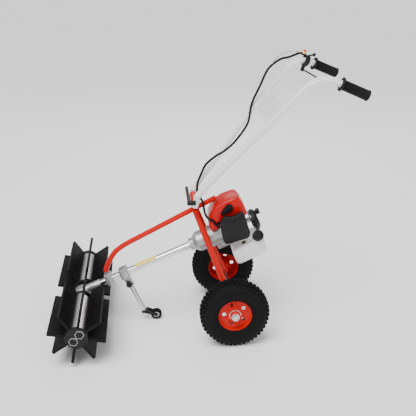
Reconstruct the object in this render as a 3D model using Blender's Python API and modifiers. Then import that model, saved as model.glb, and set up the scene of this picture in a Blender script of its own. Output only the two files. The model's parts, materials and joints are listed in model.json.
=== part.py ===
"""Petrol power sweeper: rubber-paddle drum, worm drive, two-stroke engine, two wheels and a castor.

Metres, +Z up. The sizes are set out from the wheel axle: +X runs back to the operator, +Y is the
operator's right. The last step moves everything so that the origin is under the middle of the part.
"""
from math import atan2, cos, pi, radians, sin

import bmesh
import bpy
from mathutils import Matrix, Vector

GAP = 0.0004            # clear space between touching pieces

# Wheels
TYRE_RADIUS = 0.130
TYRE_WIDTH = 0.085
TYRE_WALL = 0.007
TYRE_STEPS = 30         # a flat of the tread lies on the ground
RIM_RADIUS = 0.062
TRACK = 0.396
AXLE_RADIUS = 0.008
HUB_RADIUS = 0.020
HUB_HALF = 0.040
RIM_HOLE_RADIUS = 0.0075
RIM_HOLE_CIRCLE = 0.040
RIM_HOLES = 5

# Drive tube and engine line
TUBE_SLOPE = radians(23.0)
TUBE_RADIUS = 0.0135
TUBE_WALL = 0.0020
SHAFT_RADIUS = 0.0045
ENGINE_X = -0.150       # front face of the clutch housing, on the tube's line
ENGINE_Z = 0.320

# Drum
DRUM_ALONG = 0.466      # from the clutch housing's front face down the line to the drum
WORM_CENTRES = 0.0166   # the line runs this far above the drum's axis
DRUM_HALF = 0.315
CORE_RADIUS = 0.0370
CORE_WALL = 0.0030
CORE_INNER_END = 0.042  # from the middle to each half's inner flange
FLANGE_THICK = 0.007
CAP_RADIUS = 0.0416
CAP_THICK = 0.012
PADDLE_TIP = 0.104
PADDLE_THICK = 0.0105
PADDLE_END = 0.311
PADDLE_FIRST = radians(33.5)
PADDLE_COUNT = 8
PADDLE_GAP = 0.034      # mean distance of a paddle's inner edge from the middle
PADDLE_GAP_SWING = 0.011
OUTPUT_RADIUS = 0.006

# Gearbox
GEARBOX_RADIUS = 0.034
GEARBOX_HALF = 0.021
GEARBOX_WALL = 0.004
WORM_RADIUS = 0.0055
WORM_WHEEL_HALF = 0.006
WORM_WHEEL_TEETH = 14
NECK_RADIUS = TUBE_RADIUS + 0.003
NECK_END = 0.085        # the neck's end, along the tube from the drum
BRACKET_START = PADDLE_TIP + 0.006

# Frame
SPINE_RADIUS = 0.0105
LEG_RADIUS = 0.0115
LEG_FOOT_Y = 0.138
PIVOT_X = -0.135
PIVOT_Z = 0.516
PIVOT_SLEEVE_RADIUS = 0.013
PIVOT_SLEEVE_HALF = 0.036
PIVOT_BOLT_RADIUS = 0.0045

# Handlebar
BAR_RADIUS = 0.0125
BAR_WALL = 0.0018
BAR_FOOT_Y = 0.052
GRIP_RADIUS = 0.0175
GRIP_LENGTH = 0.105
GRIP_FLANGE_RADIUS = 0.025
CABLE_RADIUS = 0.0045
LEVER_DROP = 0.036      # the throttle lever's pin below the tube's middle

# Castor
CASTOR_RADIUS = 0.022
CASTOR_WIDTH = 0.018
CASTOR_STEM_RADIUS = 0.009
CASTOR_CLAMP_ALONG = 0.280   # from the engine line's start forward to the stem
CASTOR_TRAIL = 0.036

# Engine, along the line (s), square to it (t) and across
CLUTCH_LENGTH = 0.072
CLUTCH_RADIUS = 0.040
CRANKCASE_END = 0.172
CYLINDER_S = 0.138
CARB_S = 0.176
CARB_T = 0.040
STARTER_START = 0.2575
STARTER_END = 0.281
STARTER_RADIUS = 0.043
STARTER_DROP = 0.008

# Outlines along and square to the engine line
COVER_OUTLINE = [(0.099, 0.030), (0.102, 0.064), (0.116, 0.096), (0.152, 0.124), (0.190, 0.130),
                 (0.240, 0.128), (0.252, 0.105), (0.254, 0.040)]
COVER_HALF = 0.052
TANK_OUTLINE = [(0.142, -0.062), (0.140, -0.115), (0.150, -0.124), (0.256, -0.121), (0.269, -0.111),
                (0.2735, -0.072), (0.262, -0.060), (0.200, -0.056)]
TANK_HALF = 0.066
FILTER_OUTLINE = [(0.133, -0.014), (0.130, 0.002), (0.143, 0.066), (0.156, 0.085), (0.176, 0.089),
                  (0.195, 0.077), (0.232, 0.081), (0.243, 0.076), (0.236, -0.004), (0.229, -0.021),
                  (0.217, -0.026), (0.160, -0.018)]
FILTER_MIDDLE = (0.187, 0.032)


def clear_scene():
    for item in list(bpy.data.objects):
        bpy.data.objects.remove(item, do_unlink=True)


clear_scene()
PARTS = bpy.data.collections.new("power_sweeper")
CUTTERS = bpy.data.collections.new("cutters")
bpy.context.scene.collection.children.link(PARTS)
bpy.context.scene.collection.children.link(CUTTERS)

FORWARD = Vector((cos(TUBE_SLOPE), 0, sin(TUBE_SLOPE)))    # along the tube, up to the operator
UPWARD = Vector((-sin(TUBE_SLOPE), 0, cos(TUBE_SLOPE)))    # square to the tube
ACROSS = Vector((0, 1, 0))
ENGINE_AT = Vector((ENGINE_X, 0, ENGINE_Z))
DRUM_AT = ENGINE_AT - FORWARD * DRUM_ALONG - UPWARD * WORM_CENTRES


# ---------------------------------------------------------------- helpers

def line_at(s, t=0.0, y=0.0):
    """A point s along the engine line, t square to it and y across."""
    return ENGINE_AT + FORWARD * s + UPWARD * t + ACROSS * y


def aim(direction):
    return direction.to_track_quat("Z", "Y").to_matrix().to_4x4()


def line_frame(s, t=0.0, y=0.0):
    """Local X along the engine line, Z square to it."""
    return Matrix.Translation(line_at(s, t, y)) @ Matrix.Rotation(-TUBE_SLOPE, 4, "Y")


def material(name, colour, roughness, metallic=0.0):
    made = bpy.data.materials.get(name)
    if made:
        return made
    made = bpy.data.materials.new(name)
    made.use_nodes = True
    shader = made.node_tree.nodes["Principled BSDF"]
    shader.inputs["Base Color"].default_value = (*colour, 1)
    shader.inputs["Roughness"].default_value = roughness
    shader.inputs["Metallic"].default_value = metallic
    return made


RED = ("red_paint", (0.72, 0.035, 0.015), 0.35, 0.0)
WHITE = ("white_paint", (0.86, 0.86, 0.86), 0.35, 0.0)
RUBBER = ("black_rubber", (0.018, 0.018, 0.018), 0.75, 0.0)
PLASTIC = ("black_plastic", (0.025, 0.025, 0.027), 0.45, 0.0)
STEEL = ("bright_steel", (0.62, 0.62, 0.62), 0.28, 1.0)
ALUMINIUM = ("aluminium", (0.80, 0.80, 0.81), 0.30, 1.0)
CAST = ("cast_aluminium", (0.70, 0.70, 0.70), 0.50, 1.0)
TANK = ("white_tank", (0.88, 0.88, 0.86), 0.45, 0.0)
RED_PLASTIC = ("red_plastic", (0.75, 0.02, 0.02), 0.30, 0.0)


def place(mesh, name, look, matrix=None):
    made = bpy.data.objects.new(name, mesh)
    made.data.name = name
    PARTS.objects.link(made)
    made.data.materials.clear()
    made.data.materials.append(material(*look))
    if matrix is not None:
        made.matrix_world = matrix
    bpy.context.view_layer.update()
    return made


def baked(made, outward=False):
    """The object's mesh with its modifiers applied, in its own frame."""
    bpy.context.view_layer.update()
    graph = bpy.context.evaluated_depsgraph_get()
    mesh = bpy.data.meshes.new_from_object(made.evaluated_get(graph))
    work = bmesh.new()
    work.from_mesh(mesh)
    bmesh.ops.remove_doubles(work, verts=work.verts, dist=0.00001)
    if outward:
        bmesh.ops.recalc_face_normals(work, faces=work.faces)
    work.to_mesh(mesh)
    work.free()
    return mesh


def settle(made, outward=False):
    """Apply an object's modifiers and keep its place."""
    mesh = baked(made, outward)
    made.modifiers.clear()
    made.data = mesh
    return made


def smooth(made, angle=35):
    made.data.shade_smooth()
    made.data.set_sharp_from_angle(angle=radians(angle))
    return made


def turned(name, look, profile, matrix, steps=20):
    """A closed ring profile of (radius, height) turned about local Z; radii above zero."""
    mesh = bpy.data.meshes.new(name)
    work = bmesh.new()
    points = [work.verts.new((radius, 0, height)) for radius, height in profile]
    for here, after in zip(points, points[1:] + points[:1]):
        work.edges.new((here, after))
    work.to_mesh(mesh)
    work.free()
    made = place(mesh, name, look, matrix)
    screw = made.modifiers.new("turn", "SCREW")
    screw.steps = steps
    screw.render_steps = steps
    screw.use_merge_vertices = True
    screw.merge_threshold = 0.00001
    return smooth(settle(made, True))


def solid_turned(name, look, profile, matrix, steps=20):
    """An open profile that starts and ends on local Z, turned into a solid."""
    mesh = bpy.data.meshes.new(name)
    work = bmesh.new()
    points = [work.verts.new((radius, 0, height)) for radius, height in profile]
    for here, after in zip(points, points[1:]):
        work.edges.new((here, after))
    work.to_mesh(mesh)
    work.free()
    made = place(mesh, name, look, matrix)
    screw = made.modifiers.new("turn", "SCREW")
    screw.steps = steps
    screw.render_steps = steps
    screw.use_merge_vertices = True
    screw.merge_threshold = 0.00001
    return smooth(settle(made, True))


def rod(name, look, start, end, radius, steps=16, edge=0.0008):
    """A round bar with eased ends between two points."""
    length = (end - start).length
    profile = [(0, length), (radius - edge, length), (radius, length - edge)]
    profile += [(radius, edge), (radius - edge, 0), (0, 0)]
    return solid_turned(name, look, profile, Matrix.Translation(start) @ aim(end - start), steps)


def pipe(name, look, start, end, radius, wall, steps=20):
    """A straight open-ended pipe."""
    length = (end - start).length
    profile = [(radius, length), (radius, 0), (radius - wall, 0), (radius - wall, length)]
    return turned(name, look, profile, Matrix.Translation(start) @ aim(end - start), steps)


def block(name, look, size, matrix, edge=0.002, segments=2):
    mesh = bpy.data.meshes.new(name)
    work = bmesh.new()
    bmesh.ops.create_cube(work, size=1)
    bmesh.ops.scale(work, vec=size, verts=work.verts)
    work.to_mesh(mesh)
    work.free()
    made = place(mesh, name, look, matrix)
    if edge:
        ease = made.modifiers.new("ease", "BEVEL")
        ease.width = edge
        ease.segments = segments
        ease.limit_method = "ANGLE"
        settle(made)
    return smooth(made)


def prism(name, look, outline, half, matrix, edge=0.0, segments=2):
    """A closed outline in local X and Z, as thick as twice half across local Y."""
    mesh = bpy.data.meshes.new(name)
    work = bmesh.new()
    face = work.faces.new([work.verts.new((x, -half, z)) for x, z in outline])
    grown = bmesh.ops.extrude_face_region(work, geom=[face])
    moved = [item for item in grown["geom"] if isinstance(item, bmesh.types.BMVert)]
    bmesh.ops.translate(work, vec=(0, 2 * half, 0), verts=moved)
    bmesh.ops.recalc_face_normals(work, faces=work.faces)
    work.to_mesh(mesh)
    work.free()
    made = place(mesh, name, look, matrix)
    if edge:
        ease = made.modifiers.new("ease", "BEVEL")
        ease.width = edge
        ease.segments = segments
        ease.limit_method = "ANGLE"
        ease.angle_limit = radians(25)
        settle(made)
    return smooth(made)


def as_cutter(made):
    PARTS.objects.unlink(made)
    CUTTERS.objects.link(made)
    made.hide_render = True
    made.display_type = "WIRE"
    return made


def combine(target, other, operation):
    join = target.modifiers.new(operation.lower(), "BOOLEAN")
    join.operation = operation
    join.solver = "EXACT"
    join.object = other
    as_cutter(other)
    settle(target)
    return smooth(target)


def cut(target, other):
    return combine(target, other, "DIFFERENCE")


def add(target, other):
    return combine(target, other, "UNION")


def smooth_path(points, step):
    """Evenly spaced points on a Catmull-Rom curve through the given ones."""
    ends = [points[0] * 2 - points[1]] + points + [points[-1] * 2 - points[-2]]
    fine = []
    for a, b, c, d in zip(ends, ends[1:], ends[2:], ends[3:]):
        for k in range(20):
            u = k / 20
            fine.append(0.5 * (2 * b + (c - a) * u + (2 * a - 5 * b + 4 * c - d) * u ** 2
                               + (3 * b - a - 3 * c + d) * u ** 3))
    fine.append(points[-1])
    total = sum((q - p).length for p, q in zip(fine, fine[1:]))
    count = max(2, round(total / step))
    even = [fine[0]]
    walked = 0.0
    for p, q in zip(fine, fine[1:]):
        walked += (q - p).length
        if walked >= total / count * len(even) - 1e-9 and len(even) < count:
            even.append(q)
    even.append(fine[-1])
    return even


def bent(name, look, route, radius, wall=0.0, resolution=2):
    """A bent bar, or a bent pipe where a wall is given."""
    curve = bpy.data.curves.new(name, "CURVE")
    curve.dimensions = "3D"
    curve.bevel_depth = radius
    curve.bevel_resolution = resolution
    curve.use_fill_caps = wall == 0
    spline = curve.splines.new("POLY")
    spline.points.add(len(route) - 1)
    for point, at in zip(spline.points, route):
        point.co = (*at, 1)
    guide = bpy.data.objects.new(name + "_guide", curve)
    PARTS.objects.link(guide)
    mesh = baked(guide)
    bpy.data.objects.remove(guide, do_unlink=True)
    made = place(mesh, name, look)
    if wall:
        shell = made.modifiers.new("wall", "SOLIDIFY")
        shell.thickness = wall
        shell.offset = -1
        shell.use_even_offset = True
        settle(made, True)
    return smooth(made, 50)


# ---------------------------------------------------------------- drum

def paddle_pair(name, side, first):
    """Two rubber paddles on one tab, which lies under the drum's inner flange."""
    pair = None
    for k in range(2):
        angle = PADDLE_FIRST + (first + k) * 2 * pi / PADDLE_COUNT
        inner = PADDLE_GAP + PADDLE_GAP_SWING * cos(angle - PADDLE_FIRST - 3 * pi / 4)
        root = CORE_RADIUS + GAP
        matrix = Matrix.Translation(DRUM_AT) @ Matrix.Rotation(-angle, 4, "Y")
        middle = Vector(((root + PADDLE_TIP) / 2, side * (inner + PADDLE_END) / 2, 0))
        size = (PADDLE_TIP - root, PADDLE_END - inner, PADDLE_THICK)
        blade = block(name + "_blade", RUBBER, size, matrix @ Matrix.Translation(middle), 0)
        pair = blade if pair is None else add(pair, blade)
    start = PADDLE_FIRST + first * 2 * pi / PADDLE_COUNT
    turn = 2 * pi / PADDLE_COUNT
    low = CORE_RADIUS + GAP
    arc = [start + turn * k / 6 for k in range(7)]
    outline = [((low + 0.005) * cos(a), (low + 0.005) * sin(a)) for a in arc]
    outline += [((low + 0.0001) / cos(turn / 12) * cos(a), (low + 0.0001) / cos(turn / 12) * sin(a))
                for a in reversed(arc)]
    near = CORE_INNER_END + FLANGE_THICK + GAP
    tab = prism(name + "_tab", RUBBER, outline, 0.004,
                Matrix.Translation(DRUM_AT + ACROSS * side * (near + 0.004)))
    pair = add(pair, tab)
    clear = CAP_RADIUS + 3 * GAP
    for start, end in ((PADDLE_GAP / 2, near), (DRUM_HALF - CAP_THICK - GAP, DRUM_HALF)):
        room = rod(name + "_room", RUBBER, DRUM_AT + ACROSS * side * start, DRUM_AT + ACROSS * side * end,
                   clear, 24, 0.0001)
        pair = cut(pair, room)
    pair.name = name
    return pair


def drum_half(side, word):
    across = aim(ACROSS * side)
    base = Matrix.Translation(DRUM_AT) @ across
    start = CORE_INNER_END + FLANGE_THICK + GAP
    end = DRUM_HALF - CAP_THICK - GAP
    turned("drum_core_" + word, ALUMINIUM,
           [(CORE_RADIUS, end), (CORE_RADIUS, start), (CORE_RADIUS - CORE_WALL, start),
            (CORE_RADIUS - CORE_WALL, end)], base, 24)
    bore = OUTPUT_RADIUS + GAP
    rim = CORE_RADIUS + 0.0035
    turned("drum_flange_" + word, PLASTIC,
           [(rim - 0.001, CORE_INNER_END + FLANGE_THICK), (rim, CORE_INNER_END + FLANGE_THICK - 0.001),
            (rim, CORE_INNER_END + 0.001), (rim - 0.001, CORE_INNER_END), (bore, CORE_INNER_END),
            (bore, CORE_INNER_END + FLANGE_THICK)], base, 24)
    inside = DRUM_HALF - CAP_THICK
    turned("drum_cap_" + word, PLASTIC,
           [(CAP_RADIUS - 0.002, DRUM_HALF), (CAP_RADIUS, DRUM_HALF - 0.002), (CAP_RADIUS, inside + 0.001),
            (CAP_RADIUS - 0.001, inside), (bore, inside), (bore, DRUM_HALF)], base, 24)
    for k in range(PADDLE_COUNT // 2):
        paddle_pair(f"paddle_pair_{word}_{k + 1}", side, 2 * k)


def gear_wheel():
    """Worm wheel on the output shaft, with straight teeth round its rim."""
    teeth = WORM_WHEEL_TEETH
    tip = WORM_CENTRES - WORM_RADIUS - 2 * GAP
    outline = []
    for k in range(teeth):
        for share, depth in ((0.0, 0.0014), (0.3, 0.0014), (0.5, 0.0), (0.8, 0.0)):
            angle = (k + share) * 2 * pi / teeth
            outline.append(((tip - depth) * cos(angle), (tip - depth) * sin(angle)))
    wheel = prism("worm_wheel", STEEL, outline, WORM_WHEEL_HALF, Matrix.Translation(DRUM_AT))
    hole = rod("worm_wheel_bore", STEEL, DRUM_AT - ACROSS * 0.02, DRUM_AT + ACROSS * 0.02,
               OUTPUT_RADIUS + GAP, 16)
    return cut(wheel, hole)


def drum():
    rod("output_shaft", STEEL, DRUM_AT - ACROSS * (DRUM_HALF - 0.003),
        DRUM_AT + ACROSS * (DRUM_HALF - 0.003), OUTPUT_RADIUS, 16)
    gear_wheel()
    drum_half(-1, "left")
    drum_half(1, "right")


# ---------------------------------------------------------------- gearbox and drive


def gearbox():
    foot = -DRUM_ALONG
    across = aim(ACROSS)
    housing = solid_turned("gearbox_housing", CAST,
                           [(0, GEARBOX_HALF), (GEARBOX_RADIUS - 0.002, GEARBOX_HALF),
                            (GEARBOX_RADIUS, GEARBOX_HALF - 0.002), (GEARBOX_RADIUS, 0.002 - GEARBOX_HALF),
                            (GEARBOX_RADIUS - 0.002, -GEARBOX_HALF), (0, -GEARBOX_HALF)],
                           Matrix.Translation(DRUM_AT) @ across, 20)
    neck = rod("neck", CAST, line_at(foot), line_at(foot + NECK_END), NECK_RADIUS, 16, 0.001)
    housing = add(housing, neck)
    shaft_hole = rod("shaft_hole", CAST, DRUM_AT - ACROSS * 0.05, DRUM_AT + ACROSS * 0.05,
                     OUTPUT_RADIUS + GAP, 16)
    housing = cut(housing, shaft_hole)
    chamber = rod("chamber", CAST, DRUM_AT - ACROSS * (GEARBOX_HALF - GEARBOX_WALL),
                  DRUM_AT + ACROSS * (GEARBOX_HALF - GEARBOX_WALL),
                  GEARBOX_RADIUS - GEARBOX_WALL, 20, 0.0001)
    housing = cut(housing, chamber)
    tube_hole = rod("tube_hole", CAST, line_at(foot + GEARBOX_RADIUS - 4 * GEARBOX_WALL),
                    line_at(foot + NECK_END + 0.02), TUBE_RADIUS + 2 * GAP, 16, 0.0001)
    return cut(housing, tube_hole)


def drive_line():
    foot = -DRUM_ALONG
    tube_start = foot + GEARBOX_RADIUS
    pipe("drive_tube", STEEL, line_at(tube_start), line_at(0.012), TUBE_RADIUS, TUBE_WALL, 16)
    # worm, shaft and clutch drum turn as one piece
    start = foot - 0.018
    profile = [(0, CLUTCH_LENGTH - 0.010 - start), (0.028, CLUTCH_LENGTH - 0.010 - start),
               (0.028, CLUTCH_LENGTH - 0.034 - start), (SHAFT_RADIUS, CLUTCH_LENGTH - 0.037 - start),
               (SHAFT_RADIUS, 0.034)]
    turns = 4
    for k in range(turns):
        low = 0.029 - k * 0.005
        profile += [(WORM_RADIUS - 0.0012, low), (WORM_RADIUS, low - 0.0012),
                    (WORM_RADIUS, low - 0.0026), (WORM_RADIUS - 0.0012, low - 0.0038)]
    profile += [(SHAFT_RADIUS - 0.001, 0.009), (SHAFT_RADIUS - 0.001, 0.0), (0, 0)]
    solid_turned("drive_shaft", STEEL, profile, Matrix.Translation(line_at(start)) @ aim(FORWARD), 12)


def gearbox_clamp():
    """Split clamp at the neck's end that carries the frame's foot."""
    foot = -DRUM_ALONG
    middle = foot + BRACKET_START + 0.013
    clamp = block("gearbox_clamp", CAST, (0.026, 0.040, 0.046), line_frame(middle, 0.004), 0.003)
    hole = rod("clamp_hole", CAST, line_at(middle - 0.03), line_at(middle + 0.03), TUBE_RADIUS + 2 * GAP, 16)
    clamp = cut(clamp, hole)
    slot = block("clamp_slot", CAST, (0.06, 0.03, 0.002), line_frame(middle, 0, 0.026), 0)
    clamp = cut(clamp, slot)
    for side in (-1, 1):
        bolt = rod("clamp_bolt", STEEL, line_at(middle + side * 0.007, 0.020, -0.014),
                   line_at(middle + side * 0.007, 0.031, -0.014), 0.0035, 6, 0.0005)
        clamp = add(clamp, bolt)
    clamp.name = "gearbox_clamp"
    return clamp


# ---------------------------------------------------------------- castor

def castor():
    top = line_at(-CASTOR_CLAMP_ALONG)
    down = -UPWARD
    clamp = block("castor_clamp", CAST, (0.034, 0.044, 0.044), line_frame(-CASTOR_CLAMP_ALONG), 0.005)
    boss = rod("boss", CAST, top, top + down * 0.062, CASTOR_STEM_RADIUS + 0.005, 16, 0.001)
    clamp = add(clamp, boss)
    hole = rod("hole", CAST, top - FORWARD * 0.04, top + FORWARD * 0.04, TUBE_RADIUS + 2 * GAP, 16)
    clamp = cut(clamp, hole)
    well = rod("well", CAST, top + down * (TUBE_RADIUS + 0.004), top + down * 0.08,
               CASTOR_STEM_RADIUS + 2 * GAP, 16, 0.0001)
    clamp = cut(clamp, well)
    knob_hole = rod("knob_hole", CAST, top + down * 0.045, top + down * 0.045 - ACROSS * 0.03,
                    0.0034, 12, 0.0001)
    clamp = cut(clamp, knob_hole)
    clamp.name = "castor_clamp"

    knob_at = top + down * 0.045
    knob_face = CASTOR_STEM_RADIUS + 0.0055
    solid_turned("castor_knob", PLASTIC,
                 [(0, knob_face + 0.014), (0.010, knob_face + 0.014), (0.012, knob_face + 0.012),
                  (0.012, knob_face + 0.002), (0.009, knob_face), (0.003, knob_face),
                  (0.003, CASTOR_STEM_RADIUS + GAP * 2), (0, CASTOR_STEM_RADIUS + GAP * 2)],
                 Matrix.Translation(knob_at) @ aim(-ACROSS), 12)

    stem_start = TUBE_RADIUS + 0.006
    fork_at = castor_fork_depth()
    rod("castor_stem", STEEL, top + down * stem_start, top + down * (fork_at - 0.001),
        CASTOR_STEM_RADIUS, 16)
    castor_fork(top, down, fork_at)
    castor_wheel()


def castor_axis_offset():
    """Where the castor wheel's centre lies: trail behind the stem, at its own radius above ground."""
    top = line_at(-CASTOR_CLAMP_ALONG)
    drop = (top.z + FORWARD.z * CASTOR_TRAIL - CASTOR_RADIUS) / UPWARD.z
    return top - UPWARD * drop + FORWARD * CASTOR_TRAIL, drop


def castor_fork_depth():
    drop = castor_axis_offset()[1]
    return drop - CASTOR_RADIUS - 0.014


def castor_fork(top, down, depth):
    """A crown under the stem and two cheeks that trail back to the wheel's pin."""
    centre, drop = castor_axis_offset()
    cheek = CASTOR_WIDTH / 2 + 0.0015
    thick = 0.003
    at = top + down * depth
    frame = Matrix.Translation(at) @ Matrix.Rotation(-TUBE_SLOPE, 4, "Y")
    fork = block("castor_fork", PLASTIC, (0.026, 2 * (cheek + thick), 0.006),
                 frame @ Matrix.Translation((0.001, 0, -0.003)), 0.001, 1)
    reach = drop - depth
    outline = [(-0.011, -0.0005), (0.0135, -0.0005), (CASTOR_TRAIL + 0.007, -reach + 0.001),
               (CASTOR_TRAIL + 0.004, -reach - 0.006), (CASTOR_TRAIL - 0.004, -reach - 0.006),
               (CASTOR_TRAIL - 0.008, -reach + 0.001)]
    for side in (-1, 1):
        plate = prism("cheek", PLASTIC, outline, thick / 2,
                      frame @ Matrix.Translation((0, side * (cheek + thick / 2), 0)))
        fork = add(fork, plate)
    pin = rod("pin", STEEL, centre - ACROSS * (cheek + thick + 0.002),
              centre + ACROSS * (cheek + thick + 0.002), 0.003, 12, 0.0004)
    fork = add(fork, pin)
    fork.name = "castor_fork"
    return fork


def castor_wheel():
    centre = castor_axis_offset()[0]
    half = CASTOR_WIDTH / 2
    turned("castor_wheel", RUBBER,
           [(CASTOR_RADIUS - 0.003, half), (CASTOR_RADIUS, half - 0.003), (CASTOR_RADIUS, 0.003 - half),
            (CASTOR_RADIUS - 0.003, -half), (0.003 + GAP, -half), (0.003 + GAP, half)],
           Matrix.Translation(centre) @ aim(ACROSS), 24)


# ---------------------------------------------------------------- frame and wheels

def spine_route():
    foot = line_at(-DRUM_ALONG + BRACKET_START + 0.014, 0.0275 + SPINE_RADIUS)
    rise = foot + Vector((0.027, 0, 0.072)) * 0.86
    bend = foot + Vector((0.055, 0, 0.098))
    end = Vector((-0.052, 0, 0.513))
    return foot, rise, bend, end


def frame_spine():
    foot, rise, bend, end = spine_route()
    along = (end - bend).normalized()
    route = smooth_path([foot, foot.lerp(rise, 0.6), rise.lerp(bend, 0.5), bend + along * 0.03,
                         bend + along * 0.12, end], 0.032)
    return bent("frame_spine", RED, route, SPINE_RADIUS, 0.0022)


def spine_at(x):
    bend, end = spine_route()[2:]
    share = (x - bend.x) / (end.x - bend.x)
    return bend.lerp(end, share)


def frame_leg(side, word):
    top = spine_at(PIVOT_X + 0.003)
    start = Vector((top.x, side * (SPINE_RADIUS + LEG_RADIUS + 0.0012), top.z + 0.004))
    end = Vector((0.0, side * LEG_FOOT_Y, TYRE_RADIUS))
    down = (end - start).normalized()
    leg = pipe("frame_leg_" + word, RED, start, end + down * 0.012, LEG_RADIUS, 0.0022, 20)
    hole = rod("leg_hole", RED, Vector((0, side * 0.1, TYRE_RADIUS)), Vector((0, side * 0.18, TYRE_RADIUS)),
               AXLE_RADIUS + GAP, 16)
    return cut(leg, hole)


def axle_and_wheels():
    reach = TRACK / 2 + HUB_HALF + 0.012
    centre = Vector((0, 0, TYRE_RADIUS))
    axle = rod("axle", STEEL, centre - ACROSS * reach, centre + ACROSS * reach, AXLE_RADIUS, 16, 0.001)
    for side, word in ((-1, "left"), (1, "right")):
        hub = centre + ACROSS * side * TRACK / 2
        nut_from = hub + ACROSS * side * (HUB_HALF + GAP)
        nut = rod("axle_nut", STEEL, nut_from, nut_from + ACROSS * side * 0.008, 0.0125, 6, 0.0008)
        axle = add(axle, nut)
        wheel(hub, side, word)
    axle.name = "axle"


def wheel(hub, side, word):
    out = Matrix.Translation(hub) @ aim(ACROSS * side)
    half = TYRE_WIDTH / 2
    bead = 0.030
    corner = TYRE_RADIUS / cos(pi / TYRE_STEPS)
    crown = [(corner, 0.017), (corner - 0.009, 0.034), (corner - 0.030, half),
             (RIM_RADIUS + 0.012, half - 0.004), (RIM_RADIUS + 3 * GAP, bead)]
    outer = [(r, h) for r, h in reversed(crown)] + [(r, -h) for r, h in crown]
    inner = [(RIM_RADIUS + 3 * GAP, -bead + TYRE_WALL), (RIM_RADIUS + 0.020, TYRE_WALL - half),
             (TYRE_RADIUS - TYRE_WALL, -0.022), (TYRE_RADIUS - TYRE_WALL, 0.022),
             (RIM_RADIUS + 0.020, half - TYRE_WALL), (RIM_RADIUS + 3 * GAP, bead - TYRE_WALL)]
    turned("tyre_" + word, RUBBER, outer + inner, out, TYRE_STEPS)

    skin = 0.0022
    dish = [(RIM_RADIUS, bead), (RIM_RADIUS, -bead), (RIM_RADIUS - skin, -bead),
            (RIM_RADIUS - skin, bead - 0.014), (0.052, bead - 0.018), (0.030, bead - 0.016),
            (HUB_RADIUS + 0.002, bead - 0.008), (HUB_RADIUS, bead - 0.008), (HUB_RADIUS, -HUB_HALF),
            (AXLE_RADIUS + GAP, -HUB_HALF), (AXLE_RADIUS + GAP, HUB_HALF), (HUB_RADIUS - 0.002, HUB_HALF),
            (HUB_RADIUS, HUB_HALF - 0.002), (HUB_RADIUS, bead - 0.008 + skin),
            (HUB_RADIUS + 0.002, bead - 0.008 + skin), (0.030, bead - 0.016 + skin),
            (0.052, bead - 0.018 + skin), (RIM_RADIUS - skin, bead - 0.014 + 2 * skin),
            (RIM_RADIUS - skin, bead)]
    rim = turned("rim_" + word, RED, dish, out, 20)
    for k in range(RIM_HOLES):
        angle = (k + 0.5) * 2 * pi / RIM_HOLES
        at = out @ Vector((RIM_HOLE_CIRCLE * cos(angle), RIM_HOLE_CIRCLE * sin(angle), 0))
        hole = rod("rim_hole", RED, at, at + ACROSS * side * 0.04, RIM_HOLE_RADIUS, 8, 0.0001)
        rim = cut(rim, hole)
    rim.name = "rim_" + word
    return rim


# ---------------------------------------------------------------- handlebar

def bar_route(side):
    """Middle line of one handlebar tube, from below the pivot to the grip's end."""
    points = [(BAR_FOOT_Y, PIVOT_X + 0.001, PIVOT_Z - 0.019),
              (BAR_FOOT_Y, PIVOT_X + 0.001, PIVOT_Z),
              (BAR_FOOT_Y + 0.004, PIVOT_X + 0.017, PIVOT_Z + 0.034),
              (0.083, -0.037, 0.649), (0.125, 0.054, 0.758), (0.160, 0.152, 0.873),
              (0.171, 0.225, 0.953), (0.177, 0.260, 0.983), (0.186, 0.300, 0.991),
              (0.1924, 0.3431, 0.9753), (0.1962, 0.3883, 0.9559), (0.200, 0.4335, 0.9365)]
    return [Vector((x, side * y, z)) for y, x, z in points]


def handlebar(side, word):
    route = smooth_path(bar_route(side), 0.042)
    tube = bent("handlebar_" + word, WHITE, route, BAR_RADIUS, BAR_WALL)
    hole = rod("bar_hole", WHITE, Vector((PIVOT_X, side * 0.01, PIVOT_Z)),
               Vector((PIVOT_X, side * 0.09, PIVOT_Z)), PIVOT_BOLT_RADIUS + GAP, 12)
    tube = cut(tube, hole)
    grip(side, word)
    return tube


def grip(side, word):
    """Rubber grip with a hand flange, over the tube's end."""
    route = bar_route(side)
    end = route[-1]
    along = (end - route[-2]).normalized()
    base = end - along * (GRIP_LENGTH - 0.006)
    bore = BAR_RADIUS + 3 * GAP
    length = GRIP_LENGTH
    turned("grip_" + word, RUBBER,
           [(0.004, length), (GRIP_RADIUS - 0.002, length), (GRIP_RADIUS + 0.002, length - 0.003),
            (GRIP_RADIUS + 0.002, length - 0.007), (GRIP_RADIUS, length - 0.010),
            (GRIP_RADIUS - 0.0006, 0.010), (GRIP_FLANGE_RADIUS - 0.001, 0.006),
            (GRIP_FLANGE_RADIUS, 0.003), (GRIP_FLANGE_RADIUS - 0.001, 0.0), (bore, 0.0),
            (bore, length - 0.005), (0.004, length - 0.005)],
           Matrix.Translation(base) @ aim(along), 16)


def handle_plate():
    """Sheet brace between the two tubes, cut to their splay."""
    low = Vector((0.112, 0, 0.826))
    high = Vector((0.168, 0, 0.893))
    along = (high - low).normalized()
    square = Vector((-along.z, 0, along.x))
    frame = Matrix.Translation(low) @ Matrix(((along.x, 0, square.x, 0), (0, 1, 0, 0),
                                              (along.z, 0, square.z, 0), (0, 0, 0, 1)))
    length = (high - low).length
    clear = BAR_RADIUS + 0.0012
    half_low = 0.1465 - clear
    half_high = 0.1630 - clear
    waist = 0.006
    count = 8
    ends = []
    for k in range(count + 1):
        u = -1 + 2 * k / count
        ends.append((waist * (1 - u * u), u * half_low))
    for k in range(count + 1):
        u = 1 - 2 * k / count
        ends.append((length - waist * (1 - u * u), u * half_high))
    lying = frame @ Matrix.Rotation(radians(-90), 4, "X")
    return prism("handle_plate", WHITE, ends, 0.0010, lying)


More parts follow.
